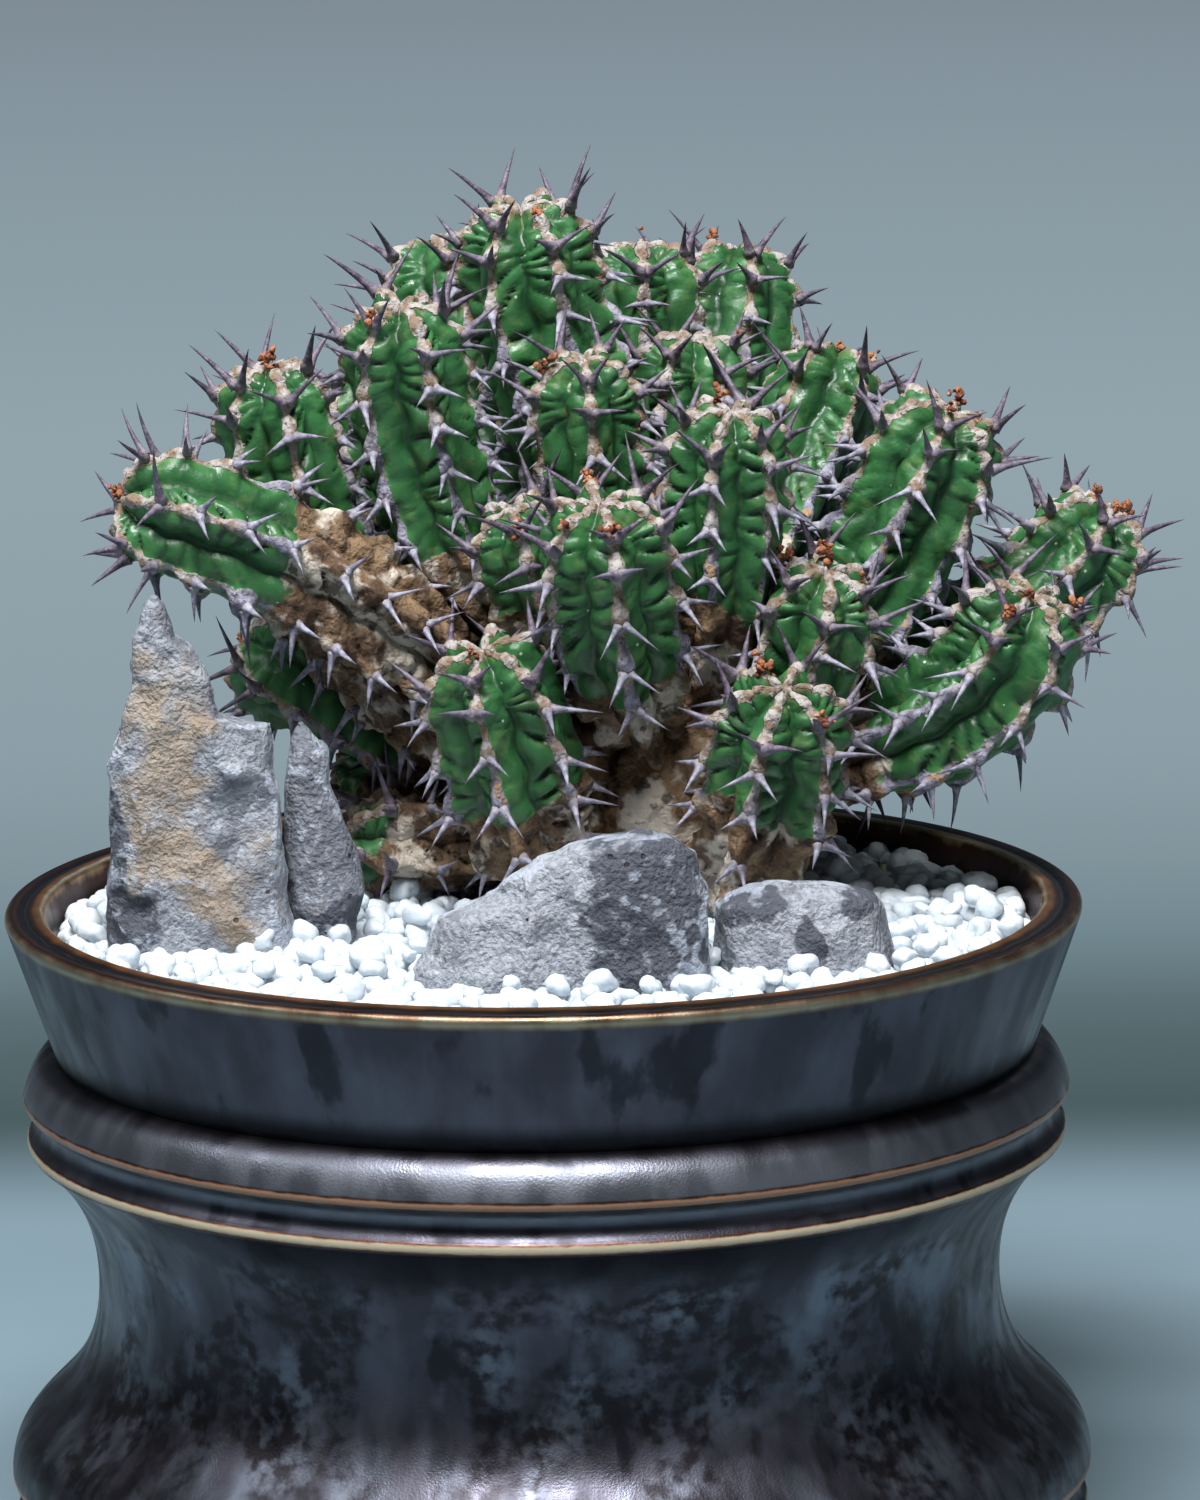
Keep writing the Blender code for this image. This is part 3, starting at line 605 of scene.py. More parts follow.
def makePot():
    rings = [*insideOfPot(), *outsideOfPot()]
    points = turned(rings, pot["segments"])
    stray = lumps(points, 60, 5) * pot["wobble"] * smooth(4, 12, points[..., 2])
    points[..., :2] *= (1 + stray / np.linalg.norm(points[..., :2], axis=-1))[..., None]
    flat = np.concatenate([points.reshape(-1, 3), [(0, 0, pot["floor"]), (0, 0, 0)]])
    faces = closedFaces(len(rings), pot["segments"], upward=False)
    piece = newPiece("glazedPot", flat * mm, faces, [glazeFinish()])
    drill(piece)
    co = np.zeros(len(piece.data.vertices) * 3)
    piece.data.vertices.foreach_get("co", co)
    for key, values in glazeMasks(co.reshape(-1, 3) / mm).items():
        made = piece.data.attributes.new(key, "FLOAT", "POINT")
        made.data.foreach_set("value", values.astype(np.float32))
    piece.data.polygons.foreach_set("use_smooth", np.full(len(piece.data.polygons), True))
    piece.data.set_sharp_from_angle(angle=math.radians(50))
    settle(piece, "glazed_stoneware", "pot")


makeCamera()
makeStudio()
print("camera, table and lights are set")
makePot()
print("pot is turned and glazed")

# where things stand in the pot

planting = {  # sizes in mm
    "gravelTop": 3,  # below the top of the pot
    "gravelDepth": 10,
    "trunkPlace": (20, 24),
    "trunkRadius": 20,
    "trunkRise": 12,
    "trunkHalfHeight": 28,
    "trunkNeck": 15,
    "rootDepth": 42,
    "rootTip": 6,
    "trunkSegments": 180,
}
gravelLevel = pot["height"] - planting["gravelTop"]
trunkMiddle = np.array((*planting["trunkPlace"], gravelLevel + planting["trunkRise"]))
trunkHalf = np.array((planting["trunkRadius"], planting["trunkRadius"], planting["trunkHalfHeight"]))

# Outlines run from the foot up: height above the gravel, left edge, right edge, half depth, in mm.
# Dark patches: place across, height, half width, half height, lean in degrees.
stones = {
    "tall": {
        "node": "stone_tall",
        "middle": -12,
        "outline": [
            (-5, -64.6, -36.6, 8), (0, -64.5, -36.8, 8), (4.7, -64.4, -37.6, 7.9),
            (11.9, -63.9, -38.2, 7.5), (19.3, -63.5, -38.6, 7), (24.3, -63.1, -39.5, 6.6),
            (29.6, -63.1, -39.6, 6.1), (31.7, -62.8, -40.1, 5.9), (33, -62.6, -44.2, 5.7),
            (33.9, -62.5, -46.6, 5.5), (36.7, -61.7, -47.2, 5.2), (39.5, -60.7, -48, 4.8),
            (41.5, -60.7, -49.3, 4.4), (43.9, -60.5, -50.9, 4), (45.5, -60.3, -53.4, 3.5),
            (47.8, -59, -54.1, 2.9), (50.2, -58.2, -54.9, 2.2), (51, -57.2, -55.6, 1.2),
        ],
        "dark": [(-63.2, 11, 2.8, 15, 4), (-60.8, 2.5, 4.6, 5.5, 20)],
        "warmth": 0.8, "grey": 0.75, "seed": 1, "chips": 1.0,
    },
    "spire": {
        "node": "stone_spire",
        "middle": -5,
        "outline": [
            (-5, -36, -28, 6), (0, -37, -27.6, 6), (1.8, -37.7, -27.4, 6), (5.5, -38.3, -26.1, 5.9),
            (11.1, -38.4, -27, 5.2), (16.2, -38.1, -29.3, 4.6), (21.9, -37.6, -31.7, 3.8),
            (26.6, -37.2, -31.9, 3.2), (28.5, -37, -33.4, 2.4), (29.9, -36.4, -34.2, 1.6),
            (30.5, -35.9, -34.9, 0.8),
        ],
        "dark": [(-28, 3, 4, 2.6, -10), (-36, 1, 3, 2.5, 0)],
        "warmth": 0.12, "grey": 1.6, "seed": 2, "chips": 0.7,
    },
    "front": {
        "node": "stone_front",
        "middle": -41,
        "outline": [
            (-5, -19.5, 24.6, 8.5), (1.1, -18.7, 24.4, 8.4), (5.4, -16.4, 24.1, 8),
            (8.7, -14.8, 23.8, 7.6), (10.6, -10.5, 23.8, 7.3), (12.5, -6.7, 23.4, 7),
            (14.4, -5, 22.8, 6.6), (15.8, -2.5, 22.4, 6.2), (17.7, 0.4, 21.8, 5.6), (19.2, 4, 20, 4.8),
            (20.3, 8.8, 18, 3.4), (20.8, 12, 16.2, 2.2),
        ],
        "dark": [(14.4, 11, 8.2, 13, -10), (21, 4, 3.6, 6, -20)],
        "warmth": 0.15, "grey": 0.4, "seed": 3, "chips": 0.8,
    },
    "lowRight": {
        "node": "stone_low_right",
        "middle": -34,
        "outline": [
            (-5, 24.8, 51, 8), (0, 24.7, 50.8, 8), (3, 24.6, 50.2, 7.8), (5.8, 24.6, 49.6, 7.2),
            (8.6, 24.9, 49, 6.4), (9.8, 26.5, 48.2, 5.6), (10.4, 27.9, 46.4, 4.8), (11.2, 29.3, 43, 3.6),
            (11.5, 31.5, 36, 2),
        ],
        "dark": [
            (31, 9.6, 4.4, 2.6, -14), (46, 9.6, 3.2, 2, 10), (38.4, 3, 2.2, 4.6, 6), (26.6, 8, 1.6, 1.6, 0),
        ],
        "warmth": 0.1, "grey": 0.4, "seed": 4, "chips": 0.9,
    },
}
cut = {"columns": 200, "levelStep": 0.3, "lidRows": 7, "lidRise": 0.5, "boxy": 0.72}  # how finely, how square


def stoneFinish(name, warmth, grey):
    finish, tree, shader = newFinish("rock " + name, specular=0.3)
    litRidge, hollowShade, dark = mask(tree, "litRidge"), mask(tree, "hollowShade"), mask(tree, "dark")
    pale, mid = (0.36, 0.385, 0.43), (0.125, 0.133, 0.16)
    patches = use(tree, mottle, scale=170.0, low=0.62 - 0.25 * grey, high=0.78 - 0.15 * grey, detail=7.0)
    base = tint(tree, patches, pale, mid, 0.85)
    fine = use(tree, mottle, scale=1000.0, seed=2.0, low=0.42, high=0.62, detail=6.0)
    base = tint(tree, fine, base, mid, 0.5)
    flour = use(tree, mottle, scale=650.0, seed=15.0, low=0.55, high=0.68, detail=7.0)
    base = tint(tree, flour, base, (0.50, 0.53, 0.60), 0.5)
    tan = use(tree, mottle, scale=95.0, seed=5.0, low=0.62 - 0.25 * warmth, high=0.74 - 0.2 * warmth)
    tan = times(tree, times(tree, tan, mask(tree, "face")), 0.25 + 0.6 * warmth)
    rusty = tint(tree, use(tree, mottle, scale=320.0, seed=8.0), (0.34, 0.265, 0.19), (0.36, 0.265, 0.17))
    base = tint(tree, tan, base, rusty)
    charcoal = use(tree, rubbed, edge=dark, scale=230.0, rough=0.9, low=0.42, high=0.52)
    flecks = use(tree, mottle, scale=520.0, seed=12.0, low=0.52, high=0.68, detail=7.0)
    coal = tint(tree, flecks, (0.082, 0.090, 0.112), (0.30, 0.33, 0.39), 0.75)
    base = tint(tree, charcoal, base, coal)
    # painted highlight: lighter on the ridges and on the stone's narrow sides
    ridgeHighlight = use(tree, rubbed, edge=litRidge, scale=600.0, seed=4.0, rough=0.6, low=0.74, high=1.0)
    base = tint(tree, ridgeHighlight, base, (0.50, 0.55, 0.65), 0.55)
    # painted shade in the stone's hollows
    deep = use(tree, rubbed, edge=hollowShade, scale=500.0, seed=6.0, rough=0.6, low=0.6, high=0.95)
    base = tint(tree, deep, base, (0.06, 0.055, 0.055), 0.6)
    pits = use(tree, specks, scale=420.0, size=0.2, share=0.06)
    base = tint(tree, pits, base, (0.03, 0.028, 0.03), 0.8)
    grain = sums(tree, "ADD", use(tree, mottle, scale=1500.0, low=0.2, high=0.8, detail=6.0),
                 times(tree, use(tree, mottle, scale=300.0, seed=3.0, low=0.25, high=0.75, detail=7.0), 1.5))
    grain = sums(tree, "SUBTRACT", grain, times(tree, pits, 1.5))
    dress(tree, shader, base, step(tree, fine, 0.0, 1.0, 0.72, 0.9), grain, 0.0004)
    return finish


def makeStone(name, shape):
    outline = np.array(shape["outline"], float)
    low, high = outline[0, 0], outline[-1, 0]
    columns, lidRows = cut["columns"], cut["lidRows"]
    levels = np.concatenate([np.arange(low, high, cut["levelStep"]), [high]])
    left, right, deep = (np.interp(levels, outline[:, 0], outline[:, n]) for n in (1, 2, 3))
    # a few rows close the top over
    rounding = np.linspace(0.25, 1.45, lidRows)
    lid = np.cos(rounding)
    levels = np.concatenate([levels, high + cut["lidRise"] * np.sin(rounding)])
    middle = np.concatenate([(left + right) / 2, np.full(lidRows, (left[-1] + right[-1]) / 2)])
    wide = np.concatenate([(right - left) / 2, (right[-1] - left[-1]) / 2 * lid])
    deep = np.concatenate([deep, deep[-1] * lid])
    turns = np.linspace(0, 2 * math.pi, columns, endpoint=False)
    across, depth = (np.sign(w) * np.abs(w) ** cut["boxy"] for w in (np.cos(turns), np.sin(turns)))
    points = np.stack([middle[:, None] + wide[:, None] * across, shape["middle"] + deep[:, None] * depth,
                       np.repeat(gravelLevel + levels[:, None], columns, 1)], -1).reshape(-1, 3)
    rows = len(levels)
    points = np.concatenate([points, [(middle[0], shape["middle"], gravelLevel + low),
                                      (middle[-1], shape["middle"], gravelLevel + levels[-1])]])
    faces = closedFaces(rows, columns)
    seed = shape["seed"] * 3
    bent = points + 2.4 * np.stack([grit(points, 7, seed + 20 + n, 2) for n in range(3)], -1)
    strata = bent * np.array((1.0, 1.0, 0.6))  # the beds run up the stone
    big = ridged(strata, 9, seed)
    mid = ridged(strata, 4.4, seed + 1)
    small = ridged(bent, 2.0, seed + 2)
    fine = grit(points, 1.3, seed + 5, 2)
    relief = 1.9 * big + 0.45 * mid + 0.12 * small + 0.15 * fine
    middles = np.concatenate([np.repeat(middle, columns), [middle[0], middle[-1]]])
    outward = points - np.stack([middles, np.full(len(points), shape["middle"]), points[:, 2]], -1)
    outward = unit(outward / np.array((6.0, 1.0, 1.0)) ** 0.5)
    top = smooth(high - 6, high + 0.5, points[:, 2] - gravelLevel)
    inward = 0.75 - 0.35 * top
    amount = (relief - 1.2) * shape["chips"] * inward * (1 - 0.4 * top)
    moved = points + outward * amount[:, None]
    belowTop = levels.max() - (points[:, 2] - gravelLevel)
    moved[:, 2] += 0.25 * grit(points, 2.2, seed + 8) * smooth(0, 4, belowTop)
    rim = np.concatenate([np.tile(np.abs(np.cos(turns)) ** 4, rows), [0, 1]])
    dark = np.zeros(len(points))
    for x, z, halfX, halfZ, lean in shape["dark"]:
        dx, dz = points[:, 0] - x, points[:, 2] - gravelLevel - z
        a = math.radians(lean)
        u, v = (dx * math.cos(a) + dz * math.sin(a)) / halfX, (-dx * math.sin(a) + dz * math.cos(a)) / halfZ
        dark = np.maximum(dark, 1 - 0.5 * np.hypot(u, v))
    # masks for the finish: painted highlight on ridges and narrow sides, painted shade in hollows, the tan
    # faces and the dark patches
    masks = {
        "litRidge": smooth(1.2, 2.6, relief + 0.3 * fine + 0.9 * rim),
        "hollowShade": 1 - smooth(-1.4, 0.2, relief),
        "face": 1 - rim,
        "dark": np.clip(dark, 0, 1),
    }
    finish = stoneFinish(name, shape["warmth"], shape["grey"])
    piece = newPiece("rock_" + name, moved * mm, faces, [finish], masks)
    settle(piece, "grey_stone", shape["node"])


for stoneName, stoneShape in stones.items():
    makeStone(stoneName, stoneShape)
print("stones are cut")

gravel = {  # sizes in mm
    "grain": 1.85,
    "heap": 1.3,
    # how high each layer lies, how far apart its pebbles are, how finely they are made, how many are kept
    "layers": ((-0.9, 2.95, 3, 1.0), (-2.9, 3.1, 2, 1.0), (1.1, 5.2, 3, 0.4)),
    "stained": 0.008,
    "gritDrop": 2.7,
}


def gravelHeight(x, y):  # the heaped surface, in mm over the gravel's level
    radius = np.hypot(x, y)
    return gravel["heap"] * (lumps(np.stack([x, y, 0 * x], -1), 17, 6) * 0.6 - smooth(58, 73, radius) * 0.35)


def scatter(limit, spacing, tries):  # places no nearer to each other than the spacing
    spots = np.zeros((0, 2))
    for _ in range(tries):
        fresh = dice.uniform(-limit, limit, (900, 2))
        fresh = fresh[np.hypot(*fresh.T) < limit]
        for spot in fresh:
            if not len(spots) or ((spots - spot) ** 2).sum(1).min() > spacing**2:
                spots = np.concatenate([spots, spot[None]])
    return spots


def inStone(x, y, margin):
    hit = np.zeros(len(x), bool)
    for shape in stones.values():
        _, left, right, deep = shape["outline"][1]
        u = (x - (left + right) / 2) / ((right - left) / 2 - margin)
        v = (y - shape["middle"]) / (deep - margin)
        hit |= np.hypot(u, v) < 1
    return hit


def pebbleFinish():
    finish, tree, shader = newFinish("white pebble", Subsurface_Weight=0.35, Subsurface_Scale=0.003)
    shader.inputs["Subsurface Radius"].default_value = (0.8, 0.95, 1.0)
    cool = use(tree, mottle, scale=260.0, low=0.35, high=0.7)
    base = tint(tree, cool, (0.62, 0.675, 0.72), (0.55, 0.615, 0.675))
    warm = use(tree, mottle, scale=55.0, seed=4.0, low=0.62, high=0.72)
    base = tint(tree, warm, base, (0.80, 0.76, 0.68), 0.35)
    stain = use(tree, rubbed, edge=mask(tree, "stain"), scale=500.0, rough=0.8, low=0.45, high=0.8)
    base = tint(tree, stain, base, (0.76, 0.64, 0.43))
    rough = step(tree, use(tree, mottle, scale=700.0, seed=2.0), 0.0, 1.0, 0.32, 0.55)
    grain = use(tree, mottle, scale=1300.0, seed=7.0, low=0.2, high=0.8, detail=3.0)
    dress(tree, shader, base, rough, grain, 0.00007)
    return finish


def pebbleHeap(spots, heights, sizes, level):
    shape, faces = ball(level)
    count = len(spots)
    squash = np.stack([np.ones(count), dice.uniform(0.8, 1.05, count), dice.uniform(0.68, 0.88, count)], -1)
    off = dice.uniform(0, 40, (count, 1, 3))
    bumps = 0.42 * lumps(shape[None] * 0.95 + off, 1.0, 2) + 0.13 * ridged(shape[None] * 1.5 + off, 1.0, 4)
    grown = shape[None] * (1 + bumps)[..., None]
    grown = grown * squash[:, None] * sizes[:, None, None]
    tilt = spins(count) * 0.35 + np.eye(3)  # mostly flat side down
    tilt = np.linalg.qr(tilt)[0]
    tilt = tilt * np.sign(np.diagonal(tilt, axis1=1, axis2=2))[:, None, :]
    around = dice.uniform(0, 2 * math.pi, count)
    c, s, o, i = np.cos(around), np.sin(around), np.zeros(count), np.ones(count)
    turn = np.moveaxis(np.array([[c, -s, o], [s, c, o], [o, o, i]]), -1, 0)
    placed = np.einsum("nij,nkj->nki", turn @ tilt, grown)
    placed += np.concatenate([spots, heights[:, None]], 1)[:, None]
    placed[..., 2] = np.maximum(placed[..., 2], gravelLevel - planting["gravelDepth"] + 1)
    allFaces = faces[None] + (np.arange(count) * len(shape))[:, None, None]
    return placed.reshape(-1, 3), allFaces.reshape(-1, 3)


def packGrit(finish):  # one solid bed below the loose pebbles
    base = gravelLevel - planting["gravelDepth"]
    radii = np.linspace(0, insideRadius(gravelLevel - 3) - 0.6, 70)[1:]
    turns = np.linspace(0, 2 * math.pi, 240, endpoint=False)
    x, y = np.outer(radii, np.cos(turns)), np.outer(radii, np.sin(turns))
    bumps = 0.7 * ridged(np.stack([x, y, 0 * x], -1), 2.6, 1)
    top = gravelLevel - gravel["gritDrop"] + gravelHeight(x, y) + bumps
    upper = np.stack([x, y, top], -1)
    lower = upper[::-1][[0, -1]].copy()
    lower[..., 2] = base
    lower[0, :, :2] *= (insideRadius(base) - 0.6) / radii[-1]
    points = np.concatenate([upper.reshape(-1, 3), lower.reshape(-1, 3),
                             [(0, 0, float(top[0].mean())), (0, 0, base)]])
    faces = closedFaces(len(radii) + 2, len(turns))
    bed = newPiece("packed_grit", points * mm, faces, [finish], {"stain": np.zeros(len(points))})
    settle(bed, "white_gravel", "gravel")


def makeGravel():
    finish = pebbleFinish()
    limit = insideRadius(gravelLevel) - gravel["grain"] - 0.2
    heaps = []
    for lift, spacing, level, share in gravel["layers"]:
        spots = scatter(limit + (0.4 if lift < 0 else -1.5), spacing, 7)
        spots = spots[dice.random(len(spots)) < share]
        spots = spots[~inStone(*spots.T, 1.2)]
        fromTrunk = np.hypot(*(spots - np.array(planting["trunkPlace"])).T)
        spots = spots[fromTrunk > planting["trunkNeck"] - 1]
        sizes = gravel["grain"] * dice.uniform(0.72, 1.28, len(spots))
        heights = gravelLevel + lift + gravelHeight(*spots.T) + dice.uniform(-0.5, 0.5, len(spots))
        heaps.append((spots, heights, sizes, level))
    for sector in range(4):
        points, faces, stains, start = [], [], [], 0
        for spots, heights, sizes, level in heaps:
            turn = np.floor((np.arctan2(spots[:, 1], spots[:, 0]) + math.pi) / (math.pi / 2)).astype(int) % 4
            here = turn == sector
            p, f = pebbleHeap(spots[here], heights[here], sizes[here], level)
            points.append(p)
            faces.append(f + start)
            stained = (dice.random(here.sum()) < gravel["stained"]).astype(float)
            stained = np.repeat(stained, len(ball(level)[0]))
            stains.append(stained * smooth(-1, 1, lumps(p, 1.2, 3)))
            start += len(p)
        piece = newPiece(f"pebbles_{sector + 1}", np.concatenate(points) * mm, faces, [finish],
                         {"stain": np.concatenate(stains)})
        settle(piece, "white_gravel")
    packGrit(finish)


makeGravel()
print("gravel is poured")


def barkColours(tree):  # brown to cream cork with dark cracks
    brown = use(tree, mottle, scale=190.0, seed=1.0, low=0.38, high=0.62, detail=7.0)
    base = tint(tree, brown, (0.075, 0.040, 0.021), (0.235, 0.15, 0.082))
    cream = use(tree, mottle, scale=130.0, seed=6.0, low=0.51, high=0.59, detail=7.0)
    base = tint(tree, cream, base, (0.56, 0.49, 0.41))
    crack = use(tree, mottle, scale=380.0, seed=9.0, low=0.55, high=0.62, detail=8.0)
    return tint(tree, crack, base, (0.045, 0.024, 0.014), 0.8)


def barkFinish():
    finish, tree, shader = newFinish("corky bark", specular=0.25)
    base = barkColours(tree)
    # painted shade in the bark's hollows
    base = tint(tree, mask(tree, "hollowShade"), base, (0.05, 0.03, 0.02), 0.8)
    grain = sums(tree, "ADD", use(tree, mottle, scale=700.0, low=0.3, high=0.7, detail=6.0),
                 times(tree, use(tree, mottle, scale=260.0, seed=9.0, low=0.4, high=0.7), 2.0))
    dress(tree, shader, base, 0.82, grain, 0.0003)
    return finish


def makeTrunk():
    rise, half, neck = trunkMiddle[2], planting["trunkHalfHeight"], planting["trunkNeck"]
    dip = math.degrees(math.asin(-(rise - gravelLevel) / half * 0.82))
    swelling = [(planting["trunkRadius"] * x, rise + half * z) for x, z in roundOff((0, 0), 1, 88, dip, 60)]
    root = [(neck, gravelLevel - 2), (neck * 0.85, gravelLevel - planting["rootDepth"] * 0.4),
            (planting["rootTip"], gravelLevel - planting["rootDepth"])]
    taproot = [p for a, b in zip(root, root[1:]) for p in straight(a, b, 24)]
    profile = np.array(swelling + taproot + [root[-1]])
    points = turned(profile, planting["trunkSegments"]).reshape(-1, 3)
    relief = 0.9 * ridged(points * (1, 1, 0.5), 7, 2) + 0.45 * ridged(points, 3, 3)
    relief += 0.2 * grit(points, 1.2, 4)
    relief *= smooth(gravelLevel - 8, gravelLevel + 2, points[:, 2])
    outward = unit(points - np.array((0, 0, rise)))
    points = points + outward * (relief * 1.1 - 0.9)[:, None]
    points += np.array((*planting["trunkPlace"], 0))
    ends = np.array([(*planting["trunkPlace"], z) for z in (profile[0, 1] - 0.6, profile[-1, 1])])
    faces = closedFaces(len(profile), planting["trunkSegments"], upward=False)
    # where the bark is sunk, for its painted shade
    masks = {"hollowShade": np.concatenate([1 - smooth(-0.9, 0.3, relief), [0, 0]])}
    piece = newPiece("corky_trunk", np.concatenate([points, ends]) * mm, faces, [barkFinish()], masks)
    settle(piece, "corky_bark", "trunk")


makeTrunk()
print("trunk is grown")

stem = {  # sizes in mm, shares of the stem's own radius where noted
    "radius": 10,
    "pathSteps": 28,
    "leavingPull": 0.34,
    "tipPull": 0.42,
    "clearance": 1.2,
    "neckShare": 0.66,
    "valleyDepth": 0.33,
    "dome": 0.95,
    "sunk": 5,  # how deep its foot goes into the trunk
    "ringStep": 0.42,
    "columns": 16,  # across one rib
    "pitch": 7.7,  # along a rib, from one shield to the next
    "foldDepth": 0.165,
    "foldSlant": 0.34,  # how far a fold drops from the furrow to the crest, in pitches
    "shieldLength": 2.6,
    "shieldWidth": 1.25,
    "spineLength": 5.4,
    "tipSpineLength": 8.0,
    "spineThickness": 0.57,
    "usualCork": 0.28,  # how far up from the foot the cork reaches, as a share of the stem
    "scarHeight": 0.8,
    "seatGap": 0.7,  # between the trunk and where a stem starts
    "crumbSizes": (0.3, 0.8),
    "crumbsToHeap": 7,
}

# Each stem: tip from the trunk's axis at the gravel (mm), the way the tip points, how steeply it
# leaves the trunk (degrees), girth as a share of the radius, ribs.
stems = {
    "far_left": ((-83, -24, 64), (-0.92, -0.08, 0.25), 28, 1.0, 6),
    "left": ((-60, -8, 82), (-0.10, -0.06, 0.99), 14, 0.92, 6),
    "left_rear": ((-47, 16, 78), (-0.12, 0.05, 0.99), 40, 0.85, 5),
    "upper_left": ((-40, -13, 92), (-0.02, -0.30, 0.95), 40, 1.0, 6),
    "crown_rear_left": ((-36, 34, 95), (-0.20, 0.20, 0.96), 60, 0.96, 5),
    "crown": ((-22, 5, 104), (-0.05, -0.25, 0.97), 78, 1.08, 6),
    "crown_rear": ((-4, 27, 95), (0.05, 0.10, 0.99), 75, 0.95, 5),
    "crown_rear_right": ((12, 48, 91), (0.12, 0.25, 0.96), 55, 0.92, 5),
    "upper_right": ((4, 12, 83), (0.08, -0.20, 0.97), 80, 0.93, 6),
    "right_rear": ((27, 30, 78), (0.30, 0.12, 0.94), 58, 0.94, 5),
    "centre": ((-13, -11, 83), (-0.02, -0.32, 0.94), 66, 0.88, 5),
    "centre_right": ((9, -19, 76), (0.10, -0.30, 0.94), 55, 0.98, 6),
    "front": ((-11, -33, 65), (-0.05, -0.36, 0.93), 38, 1.08, 6),
    "front_left": ((-29, -30, 43), (-0.32, -0.42, 0.85), -9, 1.06, 6),
    "front_right": ((23, -20, 52), (0.26, -0.40, 0.87), 30, 0.96, 6),
    "low_front": ((16, -38, 38), (0.08, -0.62, 0.78), -10, 1.1, 6),
    "right": ((43, 1, 73), (0.34, -0.22, 0.91), 38, 1.08, 6),
    "far_right_rear": ((68, 20, 54), (0.45, -0.05, 0.89), 26, 1.0, 6),
    "far_right": ((54, -20, 48), (0.12, -0.30, 0.94), 14, 1.05, 6),
    "low_left": ((-66, 12, 37), (-0.85, 0.05, 0.50), 8, 1.05, 5),
    "creeping_left": ((-52, 12, 17), (-0.95, 0.10, 0.20), -6, 0.8, 5),
    "creeping_front": ((-50, -8, 9), (-0.98, -0.12, 0.08), -9, 0.78, 5),
    "inner_left": ((-24, -20, 62), (-0.20, -0.40, 0.90), 45, 0.85, 5),
    "rear_left": ((-40, 48, 60), (-0.45, 0.50, 0.74), 35, 1.0, 5),
    "rear": ((-6, 62, 62), (-0.05, 0.62, 0.78), 35, 1.0, 5),
    "rear_right": ((32, 56, 56), (0.40, 0.55, 0.73), 35, 1.0, 5),
    "low_rear": ((8, 60, 31), (0.10, 0.86, 0.50), 5, 0.95, 5),
    "low_rear_right": ((52, 42, 29), (0.72, 0.45, 0.53), 5, 0.95, 5),
    "low_rear_left": ((-38, 46, 28), (-0.70, 0.55, 0.46), 2, 0.92, 5),
}
# Stems whose cork reaches further than usual, round scars (place and radius in mm), and the tips that
# have flowered most, by how many crumbs of dried flower they keep.
corkReach = {
    "creeping_left": 0.8, "creeping_front": 0.85, "low_left": 0.35, "low_front": 0.45, "front_left": 0.4,
    "inner_left": 0.55, "low_rear_left": 0.4, "left": 0.58, "far_left": 0.66, "upper_left": 0.42,
}
scars = {"far_left": [(-42.5, -14, 145, 2.6)], "left": [(-36, -3, 165, 1.5)], "right": [(60, 14, 158, 1.4)]}
flowering = {
    "front": 26, "front_right": 30, "low_front": 22, "far_right": 34, "far_right_rear": 26,
    "right": 24, "right_rear": 22, "left": 18, "far_left": 12, "centre": 10,
}


def stemPath(tip, heading, leaving):
    end = np.array((*planting["trunkPlace"], gravelLevel)) + np.array(tip)
    level = unit((tip[0], tip[1], 0))
    out = level * math.cos(math.radians(leaving)) + np.array((0, 0, math.sin(math.radians(leaving))))
    start = trunkMiddle + out * (trunkHalf + stem["seatGap"])
    reach = np.linalg.norm(end - start)
    a = start + out * reach * stem["leavingPull"]
    b = end - unit(heading) * reach * stem["tipPull"]
    t = np.linspace(0, 1, stem["pathSteps"])[:, None]
    path = (1 - t) ** 3 * start + 3 * (1 - t) ** 2 * t * a + 3 * (1 - t) * t**2 * b + t**3 * end
    return np.concatenate([[start - out * stem["sunk"]], path])


def along(path, distances):
    steps = np.linalg.norm(np.diff(path, axis=0), axis=1)
    travelled = np.concatenate([[0], np.cumsum(steps)])
    at = np.clip(distances, 0, travelled[-1])
    points = np.stack([np.interp(at, travelled, path[:, n]) for n in range(3)], axis=1)
    slopes = np.gradient(path, travelled, axis=0)
    return points, unit(np.stack([np.interp(at, travelled, slopes[:, n]) for n in range(3)], axis=1))


def lengthOf(path):
    return float(np.linalg.norm(np.diff(path, axis=0), axis=1).sum())


def girthAt(distance, length, radius):
    swell = np.clip((distance - stem["sunk"]) / (0.5 * (length - stem["sunk"])), 0, 1)
    return radius * (stem["neckShare"] + (1 - stem["neckShare"]) * swell * swell * (3 - 2 * swell))


def room(centres, directions, others):  # how far a point may go before it is nearer to another stem
    best = np.full(len(centres), np.inf)
    gap = stem["clearance"]
    for point in others:
        d = centres - point
        toward = gap - 2 * (d * directions).sum(1)
        far = ((d * d).sum(1) - gap**2 / 4) / np.maximum(toward, 1e-9)
        best = np.where(toward > 0, np.minimum(best, far), best)
    return best


def shieldPlaces(top):  # where a rib's shields sit, from the foot up
    places = [top]
    gap = stem["pitch"] * 0.72
    while places[-1] - gap > -stem["pitch"]:
        places.append(places[-1] - gap)
        gap = stem["pitch"] * dice.uniform(0.86, 1.14)
    places = places[::-1]
    return np.array([*places, top + stem["pitch"] * 0.6, top + stem["pitch"] * 1.2])


spineSteps = np.array([0, 0.1, 0.24, 0.42, 0.6, 0.78, 0.92, 1.0])
spineSides = 8


